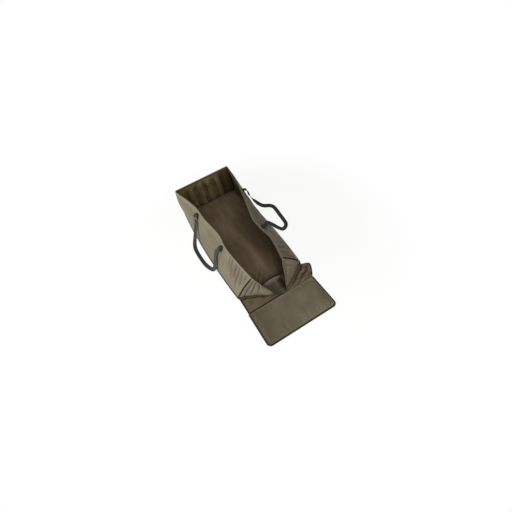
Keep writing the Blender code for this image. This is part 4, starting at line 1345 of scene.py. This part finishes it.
@dataclass
class Strip(BoundPiece):
    """The thin cloth between base and flap, flat at the left and bunched up at the right."""

    half_length: float = 0.625
    half_width: float = 0.30
    fold_gap: float = 0.00045
    length: float = 0.162
    steps: tuple = (190, 56)
    bow: float = 0.056
    bow_shape: tuple = ((0.0, 0.0), (0.12, 0.60), (0.28, 1.0), (0.50, 0.86), (0.85, 0.33), (1.0, 0.0))
    bunch_height: float = 0.034
    bunch_pitch: float = 0.055
    bunch_clear: float = 0.005
    bunch_floor: float = 0.24
    bunch_edge: float = 0.016
    bunch_line: tuple = (0.300, 0.052)
    binding_span: tuple = (0.03, 0.97)
    fold_tape_right: float = 0.03
    fold_tape_back: float = 0.005
    slump_line: tuple = ((-0.25, 0.640), (-0.232, 0.652), (-0.162, 0.688), (-0.093, 0.728), (-0.03, 0.756))

    @property
    def start(self) -> float:
        """Where the strip starts."""
        return self.half_length + 2 * self.fold_gap

    @property
    def end(self) -> float:
        """Where the strip ends."""
        return self.start + self.length

    def right(self, w: float) -> float:
        """Where the strip's right edge lies, bowed out where the cloth is bunched."""
        return self.half_width + self.bow * through_knots(self.bow_shape, w)

    def past(self, x: float, y: float) -> float:
        """How far a place lies past the line where the bunched cloth starts."""
        near, far = Vector((self.start, self.bunch_line[0])), Vector((self.end, self.bunch_line[1]))
        line = (far - near).normalized()
        return (x - near.x) * -line.y + (y - near.y) * line.x - self.bunch_clear

    def swing(self, x: float, y: float) -> float:
        """Share of a bunched fold's height, 1 on its ridge and 0 between two."""
        past = self.past(x, y) + 0.020 * rough(x * 15, y * 15, 91.0) + 0.009 * rough(x * 42, y * 42, 92.0)
        return 0.5 - 0.5 * math.cos(2 * math.pi * past / self.bunch_pitch)

    def bunch(self, x: float, y: float, w: float) -> float:
        """Height of the bunched folds and of the slight ripples in the flat part."""
        band = self.band / self.length
        past = self.past(x, y)
        arch = max(math.sin(math.pi * clamp((w - band) / (1 - 2 * band)) ** 0.8), 0)
        raised = ease(past / 0.04)
        fine = 1 + 0.20 * rough(x * 45, y * 45, 93.0) + 0.20 * rough(x * 80 + y * 50, y * 60, 94.0)
        inner = self.bunch_height * raised * mix(self.bunch_floor, 1, self.swing(x, y)) * fine * arch ** 0.7
        flat = 0.0016 * (1 + rough(x * 14, y * 9, 95.0)) * arch
        height = mix(self.bunch_edge * arch, inner, ease((self.right(w) - y - self.band) / 0.035))
        return height + flat * ease((self.half_width + y) / 0.05)

    def point(self, u: float, w: float) -> Vector:
        """Point of the strip, u from left to right, w from the base seam to the fold."""
        x = mix(self.start, self.end, w)
        y = mix(-self.half_width, self.right(w), u)
        return Vector((x, y, self.lift + self.cloth / 2 + self.bunch(x, y, w)))

    def fold(self, u: float, w: float) -> float:
        """Painted shade and light: darker in dips and between the bunched folds, with a painted shadow where
        the slumped wall lies over the cloth, and the bunched part a little lighter.
        """
        spot = self.point(u, w)
        around = [self.point(clamp(u + du), clamp(w + dw)).z
                  for du, dw in ((-0.014, 0), (0.014, 0), (0, -0.06), (0, 0.06))]
        dip = clamp((sum(around) / 4 - spot.z) / 0.004)
        bunched = ease((self.past(spot.x, spot.y) + 0.01) / 0.03)
        between = 0.42 * bunched * ease(1 - self.swing(spot.x, spot.y) / 0.50)
        # Painted shadow where the slumped wall lies over the cloth; the bunched part is painted a little
        # lighter.
        off = abs(spot.x - through_knots(self.slump_line, spot.y) - 0.004)
        painted_contact_shadow = 0.88 * ease(1 - off / 0.011) * ease((-0.07 - spot.y) / 0.05)
        return (1 - 0.55 * dip) * (1 - between) * (1 + 0.25 * bunched) * (1 - painted_contact_shadow)

    def build(self) -> None:
        """Build the cloth, its edge bindings and the tape along the fold."""
        cloth = Grid.of(self.point, *self.steps, self.fold).sheet("strip_nylon", self.cloth)
        enrol(cloth, STRIP_NYLON, "strip", ["strip_cloth"])
        side = self.cloth / 2 + self.gap + self.tape / 2
        section = self.section(-side, side)
        for name, edge in (("left", 0), ("right", 1)):
            def place(u: float, w: float, edge: int = edge) -> Vector:
                reach, lift = along_line(section, w)
                spot = self.point(edge, mix(*self.binding_span, u))
                return spot + Vector((0, (2 * edge - 1) * reach, lift))
            grid = Grid.of(place, along=60, across=20, rub=lambda u, w: 0.5)
            tape = grid.sheet(f"strip_{name}_binding", self.tape)
            enrol(tape, BINDING, "strip", [f"strip_{name}_tape"])

        def on_fold(u: float, w: float) -> Vector:
            lift = self.lift + self.cloth + self.tape / 2 + 2 * self.gap
            y = mix(-self.half_width + self.band, self.fold_tape_right, u)
            x = self.end - self.fold_tape_back - mix(self.edge_tape, 0, w)
            return Vector((x, y, lift))

        tape = Grid.of(on_fold, along=90, across=6).sheet("fold_binding", self.tape)
        enrol(tape, BINDING, "strip", ["fold_tape"])


@dataclass
class Flap(BoundPiece):
    """The padded flap: a cushion on a black underside, bound round its three free edges."""

    start: float = 0.7888
    length: float = 0.309
    half_width: float = 0.306
    corner: float = 0.034
    foam: float = 0.010
    edge: float = 0.003
    roll: float = 0.035
    set_back: float = 0.0012
    sewn_past: float = 0.004
    stitch_inset: float = 0.0055
    steps: tuple = (96, 180)
    side_steps: int = 40
    corner_steps: int = 12
    end_steps: int = 60

    def spot(self, x: float, y: float) -> tuple[float, float]:
        """Move a point of the flap's rectangle so that its two outer corners are round."""
        past_x = (x - (self.length - self.corner)) / self.corner
        past_y = (abs(y) - (self.half_width - self.corner)) / self.corner
        if past_x > 0 and past_y > 0:
            reach = max(past_x, past_y)
            turn = math.radians(45) * min(past_x, past_y) / reach
            across, ahead = math.sin(turn), math.cos(turn)
            if past_x < past_y:
                across, ahead = ahead, across
            x += (reach * ahead - past_x) * self.corner
            y = math.copysign(self.half_width + (reach * across - 1) * self.corner, y)
        return self.start + x, y

    def swell(self, x: float, y: float) -> float:
        """Height of the cushion, thin where its edges are sewn and bound."""
        share = 1.0
        for reach in (self.length - x, self.half_width - abs(y), x):
            share *= ease((reach - self.band) / self.roll)
        soft = 0.0024 * rough(x * 7, y * 6, 101.0) + 0.0007 * rough(x * 18, y * 15, 103.0)
        return mix(self.edge, self.foam, share) + share * soft

    @staticmethod
    def fold(u: float, w: float) -> float:
        """Darker at the left, where the light misses the flap."""
        return 0.56 + 0.31 * ease(w / 0.45) + 0.12 * w

    def build(self) -> None:
        """Build the flap's pieces."""
        low = self.lift + self.cloth + self.gap

        def at(height: Callable[[float, float], float]) -> Place:
            def place(u: float, w: float) -> Vector:
                x, y = mix(self.set_back, self.length, u), (2 * w - 1) * self.half_width
                return Vector((*self.spot(x, y), height(x, y)))
            return place

        def rub(u: float, w: float) -> float:
            reach = min(1 - u, u) * self.length
            return 0.6 * ease(1 - min(reach, min(w, 1 - w) * 2 * self.half_width) / 0.03)

        back = Grid.of(at(lambda x, y: self.lift + self.cloth / 2), along=60, across=100)
        under = back.sheet("flap_back", self.cloth)
        enrol(under, TARPAULIN, "flap", ["flap_underside"])
        skin = low + self.gap + self.cloth
        top = Grid.of(at(lambda x, y: skin + self.swell(x, y)), *self.steps, self.fold, rub)
        held = top.from_edge() < self.band + self.sewn_past
        filled = settled(top, held, slack=0.004, pressure=1.0, cap=0.0030)
        bottom = Grid.of(at(lambda x, y: low), *self.steps)
        cushion = top.closed("flap_cushion", bottom.points, filled, rings=1)
        enrol(cushion, PACK_CLOTH, "flap", ["flap_foam", "flap_cover"])
        tape = self.build_binding(skin)

    def border(self, inside: float = 0.0) -> list[tuple[Vector, Vector]]:
        """Points round the three free edges with the direction out of the flap."""
        corner_x, corner_y = self.start + self.length - self.corner, self.half_width - self.corner
        run = [(Vector((mix(self.start, corner_x, i / self.side_steps), -self.half_width)), Vector((0, -1)))
               for i in range(self.side_steps)]
        centre = Vector((corner_x, -self.half_width + self.corner))
        for i in range(self.corner_steps + 1):
            angle = math.radians(90 * i / self.corner_steps)
            facing = Vector((math.sin(angle), -math.cos(angle)))
            run.append((centre + facing * self.corner, facing))
        end = self.start + self.length
        middle = [(Vector((end, mix(-1, 1, i / self.end_steps) * corner_y)), Vector((1, 0)))
                  for i in range(1, self.end_steps)]
        mirrored = [(Vector((p.x, -p.y)), Vector((f.x, -f.y))) for p, f in reversed(run)]
        return [(p - f * inside, f) for p, f in run + middle + mirrored]

    def build_binding(self, skin: float) -> bpy.types.Object:
        """Build the binding folded round the free edges, and its stitches.

        Args:
            skin: Height of the cover's top before it swells.

        Returns:
            The binding.
        """
        edge = self.border()
        bottom = self.tape / 2
        top = skin + self.edge + self.gap + self.tape / 2
        section = self.section(bottom, top)

        def place(u: float, w: float) -> Vector:
            point, facing = edge[round(u * (len(edge) - 1))]
            reach, height = along_line(section, w)
            spot = point + facing * reach
            return Vector((spot.x, spot.y, height))

        grid = Grid.of(place, along=len(edge) - 1, across=24, rub=lambda u, w: 0.6)
        tape = grid.sheet("flap_binding", self.tape)
        enrol(tape, BINDING, "flap", ["flap_edge_tape"])
        up = Vector((0, 0, 1))
        rows = [(Vector((p.x, p.y, top + self.tape / 2)), up) for p, _ in self.border(self.stitch_inset)]
        enrol(stitches("flap_binding_stitches", rows), THREAD, "flap")
        return tape


@dataclass
class Handle:
    """One webbing loop and the two stitched ends that hold it to its wall."""

    form: CradleForm
    side: Side
    ends: tuple
    leads: tuple
    route: tuple
    half_base: float = 0.30
    width: float = 0.036
    thickness: float = 0.0024
    spacing: float = 0.49
    anchor_low: float = 0.222
    anchor_high: float = 0.262
    anchor_gap: float = 0.0006
    arch_radius: float = 0.010
    arch_turn: float = 150
    strap_gap: float = 0.0007
    strap_back: float = 0.0027
    flat: float = 0.60
    steps: int = 260
    dense: int = 1200
    box_steps: int = 120
    box: tuple = ((0.12, 0.06), (0.88, 0.06), (0.88, 0.50), (0.12, 0.50), (0.12, 0.06), (0.88, 0.50),
                  (0.88, 0.06), (0.12, 0.50))

    @property
    def name(self) -> str:
        """The handle's side in words."""
        return self.side.name.lower()

    @property
    def line(self) -> Vector:
        """Direction of the line that the strap turns about, from far to near."""
        return (Vector(self.ends[1]) - Vector(self.ends[0])).normalized()

    def ahead(self, end: int) -> Vector:
        """Direction in which the webbing leaves its stitched end."""
        return (Vector(self.leads[end]) - Vector(self.ends[end])).normalized()

    def stations(self, count: int) -> list[tuple[Vector, Vector]]:
        """Evenly spaced places along the strap.

        Args:
            count: How many steps.

        Returns:
            Each place's centre and the direction of the webbing's width.
        """
        line = self.line
        starts = [Vector(self.ends[end]) - self.ahead(end) * self.strap_back for end in (0, 1)]
        points, widths = [starts[0], Vector(self.leads[0])], [line, line]
        for (along, out, up), (run, across, lift) in self.route:
            points.append(Vector((along, self.side.value * (self.half_base + out), up)))
            widths.append(Vector((run, self.side.value * across, lift)).normalized())
        points += [Vector(self.leads[1]), starts[1]]
        widths += [-line, -line]
        shares = [i / self.dense for i in range(self.dense + 1)]
        track = [through(points, share) for share in shares]
        facing = [through(widths, share) for share in shares]
        steps = [(b - a).length for a, b in zip(track, track[1:])]
        lengths = np.concatenate(([0], np.cumsum(steps)))
        found = []
        for want in np.linspace(0, lengths[-1], count + 1):
            at = min(int(np.searchsorted(lengths, want, side="right")) - 1, self.dense - 1)
            t = (want - lengths[at]) / (lengths[at + 1] - lengths[at])
            ahead = (track[at + 1] - track[at]).normalized()
            width = facing[at].lerp(facing[at + 1], t)
            found.append((track[at].lerp(track[at + 1], t), (width - ahead * width.dot(ahead)).normalized()))
        found[0], found[-1] = (starts[0], line), (starts[1], -line)
        return found

    def build(self) -> None:
        """Build the loop and its two ends."""
        stations = self.stations(self.steps)

        def place(u: float, w: float) -> Vector:
            centre, width = stations[round(u * self.steps)]
            return centre + width * (w - 0.5) * self.width

        def rub(u: float, w: float) -> float:
            return self.worn(w) + 0.15 * hump(u, 0.5, 0.2)

        grid = Grid.of(place, along=self.steps, across=14, rub=rub)
        strap = grid.sheet(f"{self.name}_handle_strap", self.thickness)
        enrol(strap, WEBBING, f"{self.name}_handle", [f"{self.name}_handle"])
        for end, label in enumerate(("far", "near")):
            self.build_end(end, label)

    @staticmethod
    def worn(across: float) -> float:
        """How rubbed the webbing is, most at its two edges."""
        return 0.10 + 0.35 * ease(abs(2 * across - 1) * 3 - 2)

    def seat(self, x: float, rise: float) -> Vector:
        """Point of the webbing's middle on the wall's outer face."""
        depth = self.form.wall_half + self.anchor_gap + self.thickness / 2
        return self.form.wall(self.side, x, rise, depth)

    def arch(self, end: int, degrees: float) -> Vector:
        """Middle of the webbing as it arches out of its stitched end, up to the strap."""
        ahead = self.ahead(end)
        last = Vector(self.ends[end]) - ahead * (self.strap_back + self.strap_gap)
        cross = self.line.cross(ahead) * -self.side.value
        turn = math.radians(self.arch_turn)
        up = ahead * math.cos(turn) - cross * math.sin(turn)
        out = ahead * math.sin(turn) + cross * math.cos(turn)
        here = math.radians(degrees)
        return last + (up * (math.sin(here) - math.sin(turn)) + out * (math.cos(turn) - math.cos(here))
                       ) * self.arch_radius

    def build_end(self, end: int, label: str) -> None:
        """Build one stitched end with its box stitch.

        Args:
            end: 0 for the far one, 1 for the near one.
            label: The same in words.
        """
        middle = (end - 0.5) * self.spacing
        shift = self.arch(end, 0) - self.seat(middle, self.anchor_high)

        def place(u: float, w: float) -> Vector:
            across = (u - 0.5) * self.width
            share = min(w / self.flat, 1.0)
            rise = mix(self.anchor_low, self.anchor_high, share)
            seated = self.seat(middle + across, rise) + shift * share
            if w <= self.flat:
                return seated
            turned = (w - self.flat) / (1 - self.flat)
            level = (seated - self.arch(end, 0)).lerp(self.line * across, ease(turned))
            return self.arch(end, self.arch_turn * turned) + level

        grid = Grid.of(place, along=16, across=30, rub=lambda u, w: self.worn(u))
        patch = grid.sheet(f"{self.name}_{label}_strap_end", self.thickness)
        enrol(patch, WEBBING, "cradle", [f"{self.name}_{label}_anchor"])
        out = self.form.lie(self.side, middle, self.anchor_low)[1]
        rows = []
        for i in range(self.box_steps + 1):
            u, w = along_line(self.box, i / self.box_steps)
            rows.append((place(u, w) + out * self.thickness / 2, out))
        enrol(stitches(f"{self.name}_{label}_box_stitch", rows, pitch=0.004), THREAD, "cradle")


# Where each strap turns, where it leaves its stitched ends, and its way between: along
# the mat, out past the base's side and up, each with the direction of the webbing's
# width along, outward and up.
LEFT_ENDS = ((-0.244294, -0.248204, 0.258506), (0.245692, -0.231183, 0.252985))
LEFT_LEADS = ((-0.243797, -0.267434, 0.247833), (0.246242, -0.251071, 0.243598))
LEFT_ROUTE = (
    ((-0.236, -0.031, 0.217), (1, -0.1, 0)), ((-0.219, -0.018, 0.190), (1, -0.3, 0)),
    ((-0.203, 0.005, 0.150), (1, -0.6, 0)), ((-0.182, 0.033, 0.105), (1, -0.7, -0.1)),
    ((-0.160, 0.062, 0.060), (0.8, -0.8, -0.1)), ((-0.130, 0.085, 0.034), (0.5, -0.9, -0.1)),
    ((-0.087, 0.098, 0.022), (0.2, -1, -0.05)), ((-0.029, 0.101, 0.013), (0, -1, -0.1)),
    ((0.053, 0.099, 0.009), (0, -1, -0.1)), ((0.129, 0.091, 0.009), (-0.1, -1, 0.1)),
    ((0.194, 0.074, 0.013), (-0.35, -0.9, 0.25)), ((0.233, 0.056, 0.024), (-0.75, -0.35, 0.55)),
    ((0.241, 0.037, 0.052), (-0.85, 0.4, 0.3)), ((0.227, 0.014, 0.095), (-1, 0.3, 0)),
    ((0.210, -0.009, 0.145), (-1, 0.1, 0)), ((0.207, -0.029, 0.190), (-1, 0, 0)),
    ((0.224, -0.041, 0.214), (-1, 0, 0)),
)
RIGHT_ENDS = ((-0.241582, 0.275629, 0.264622), (0.248109, 0.194566, 0.236649))
RIGHT_LEADS = ((-0.239622, 0.293453, 0.251875), (0.250919, 0.215364, 0.230065))
RIGHT_ROUTE = (
    ((-0.225, -0.003, 0.224), (1, 0.1, 0)), ((-0.203, -0.003, 0.198), (1, 0, 0)),
    ((-0.184, 0.008, 0.168), (1, -0.2, 0)), ((-0.165, 0.026, 0.138), (0.8, -0.5, -0.3)),
    ((-0.145, 0.052, 0.100), (0.5, -0.75, -0.45)), ((-0.134, 0.080, 0.071), (0.55, -0.6, -0.55)),
    ((-0.127, 0.112, 0.052), (0.7, -0.45, -0.55)), ((-0.115, 0.150, 0.040), (0.55, -0.6, -0.45)),
    ((-0.083, 0.173, 0.030), (0.15, -0.95, -0.3)), ((-0.026, 0.173, 0.024), (0, -1, -0.3)),
    ((0.036, 0.169, 0.017), (0, -1, -0.25)), ((0.104, 0.164, 0.012), (-0.1, -1, -0.1)),
    ((0.166, 0.152, 0.016), (-0.4, -0.9, 0.1)), ((0.204, 0.120, 0.021), (-0.75, -0.45, 0.4)),
    ((0.212, 0.083, 0.026), (-0.9, 0.2, 0.4)), ((0.197, 0.050, 0.056), (-1, 0.8, 0.3)),
    ((0.184, 0.011, 0.108), (-0.8, 0.7, 0.4)), ((0.180, -0.027, 0.160), (-1, 0.5, 0.3)),
    ((0.191, -0.052, 0.190), (-1, 0.2, 0.1)), ((0.215, -0.064, 0.204), (-1, 0, 0)),
    ((0.234, -0.074, 0.213), (-1, 0, 0)),
)


@dataclass(frozen=True)
class Softbox:
    """One soft lamp: where it hangs, the point that it faces, its width and height, and its power."""

    name: str
    place: tuple
    aim: tuple
    size: tuple
    watts: float

    def hang(self) -> None:
        """Hang the lamp and turn it to what it lights."""
        data = bpy.data.lights.new(self.name, "AREA")
        data.shape = "RECTANGLE"
        data.size, data.size_y = self.size
        data.energy = self.watts
        lamp = placed(self.name, data)
        lamp.location = self.place
        lamp.rotation_euler = (Vector(self.aim) - Vector(self.place)).to_track_quat("-Z", "Y").to_euler()


SOFTBOXES = (
    Softbox("key_softbox", place=(0.1, -3.25, 0.8), aim=(0.1, 0, 0.1), size=(2.4, 1.2), watts=158),
    Softbox("top_softbox", place=(0.9, 0.0, 2.9), aim=(0.2, 0, 0), size=(3.0, 3.0), watts=28),
    Softbox("front_softbox", place=(2.7, -0.2, 1.3), aim=(0.4, 0, 0.05), size=(1.6, 1.2), watts=30),
)


@dataclass
class Studio:
    """The camera, the soft lights and the pale floor."""

    place: tuple = (1.90037915, -0.47323013, 2.11807516)
    right: tuple = (0.49136387, 0.8554219, -0.16375262)
    up: tuple = (-0.64229614, 0.48288328, 0.59521376)
    back: tuple = (0.58823228, -0.18728886, 0.78670558)
    lens: float = 21.1
    floor_size: float = 60.0
    floor_level: float = -0.0004
    floor_glow: float = 0.88
    fade_centre: tuple = (0.2, 0.0, 0.0)
    fade_from: float = 0.9
    fade_to: float = 1.6
    world_fill: float = 0.30

    def build(self) -> None:
        """Build the studio."""
        self.build_camera()
        self.build_floor()
        self.build_world()
        for lamp in SOFTBOXES:
            lamp.hang()
        bpy.context.scene.view_settings.view_transform = "Standard"

    def build_camera(self) -> None:
        """Set the camera at the photograph's angle."""
        data = bpy.data.cameras.new("camera")
        data.lens = self.lens
        data.sensor_width = 36.0
        camera = placed("camera", data)
        axes = (self.right, self.up, self.back)
        rows = [[axis[i] for axis in axes] + [self.place[i]] for i in range(3)]
        camera.matrix_world = Matrix(rows + [[0, 0, 0, 1]])
        bpy.context.scene.camera = camera

    def build_floor(self) -> None:
        """Lay the pale floor, which keeps the object's shadow."""
        half = self.floor_size / 2
        corners = [(x * half, y * half, self.floor_level) for x, y in ((-1, -1), (1, -1), (1, 1), (-1, 1))]
        mesh = bpy.data.meshes.new("studio_floor")
        mesh.from_pydata(corners, [], [(0, 1, 2, 3)])
        floor = placed("studio_floor", mesh)
        made = emptied(bpy.data.materials.new("studio_floor_matt_paper"))
        paper = add_node(made, "ShaderNodeBsdfDiffuse", {"Color": linear("F4F4F3")}).outputs["BSDF"]
        white = add_node(made, "ShaderNodeEmission", {"Color": linear("FFFFFF"), "Strength": 1.0}).outputs[0]
        spot = add_node(made, "ShaderNodeNewGeometry").outputs["Position"]
        distance = {0: spot, 1: self.fade_centre}
        reach = add_node(made, "ShaderNodeVectorMath", distance, operation="DISTANCE").outputs["Value"]
        fade = add_node(made, "ShaderNodeMapRange", {
            "Value": reach, "From Min": self.fade_from, "From Max": self.fade_to,
            "To Min": self.floor_glow, "To Max": 1.0,
        }, interpolation_type="SMOOTHSTEP").outputs["Result"]
        bright = add_node(made, "ShaderNodeMixShader", {0: fade, 1: paper, 2: white}).outputs[0]
        self.show(made, paper, bright, "ShaderNodeOutputMaterial")
        mesh.materials.append(made)

    @staticmethod
    def show(made: bpy.types.Material | bpy.types.World, lit: bpy.types.NodeSocket,
             seen: bpy.types.NodeSocket, output: str) -> None:
        """Use one shader for the light and another where the background is seen.

        Args:
            made: The material or world.
            lit: The shader for rays that carry light.
            seen: The one for camera, glossy and transmission rays.
            output: The type of the output node.
        """
        paths = add_node(made, "ShaderNodeLightPath").outputs
        both = calculate(made, "ADD", paths["Is Camera Ray"], paths["Is Glossy Ray"])
        seen_ray = calculate(made, "ADD", both, paths["Is Transmission Ray"], use_clamp=True)
        chosen = add_node(made, "ShaderNodeMixShader", {0: seen_ray, 1: lit, 2: seen}).outputs[0]
        add_node(made, output, {"Surface": chosen})

    def build_world(self) -> None:
        """Light the object evenly, and show white to the camera."""
        world = emptied(bpy.data.worlds.new("studio_world"))
        bpy.context.scene.world = world
        kind = "ShaderNodeBackground"
        fill = add_node(world, kind, {"Color": linear("FFF4E4"), "Strength": self.world_fill}).outputs[0]
        white = add_node(world, kind, {"Color": linear("FFFFFF"), "Strength": 1.0}).outputs[0]
        self.show(world, fill, white, "ShaderNodeOutputWorld")


def main() -> None:
    """Build the mat's sub-assemblies and the studio in order."""
    logging.basicConfig(level=logging.INFO, format="%(name)s: %(message)s")
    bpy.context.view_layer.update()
    Studio().build()
    form = CradleForm()
    FloorPad(form).build()
    for side in Side:
        SideWall(form, side).build()
    FarWall(form).build()
    BasePiping(form).build()
    Strip().build()
    EndWall(form).build()
    Flap().build()
    Handle(form, Side.LEFT, LEFT_ENDS, LEFT_LEADS, LEFT_ROUTE).build()
    Handle(form, Side.RIGHT, RIGHT_ENDS, RIGHT_LEADS, RIGHT_ROUTE).build()


if __name__ == "__main__":
    main()
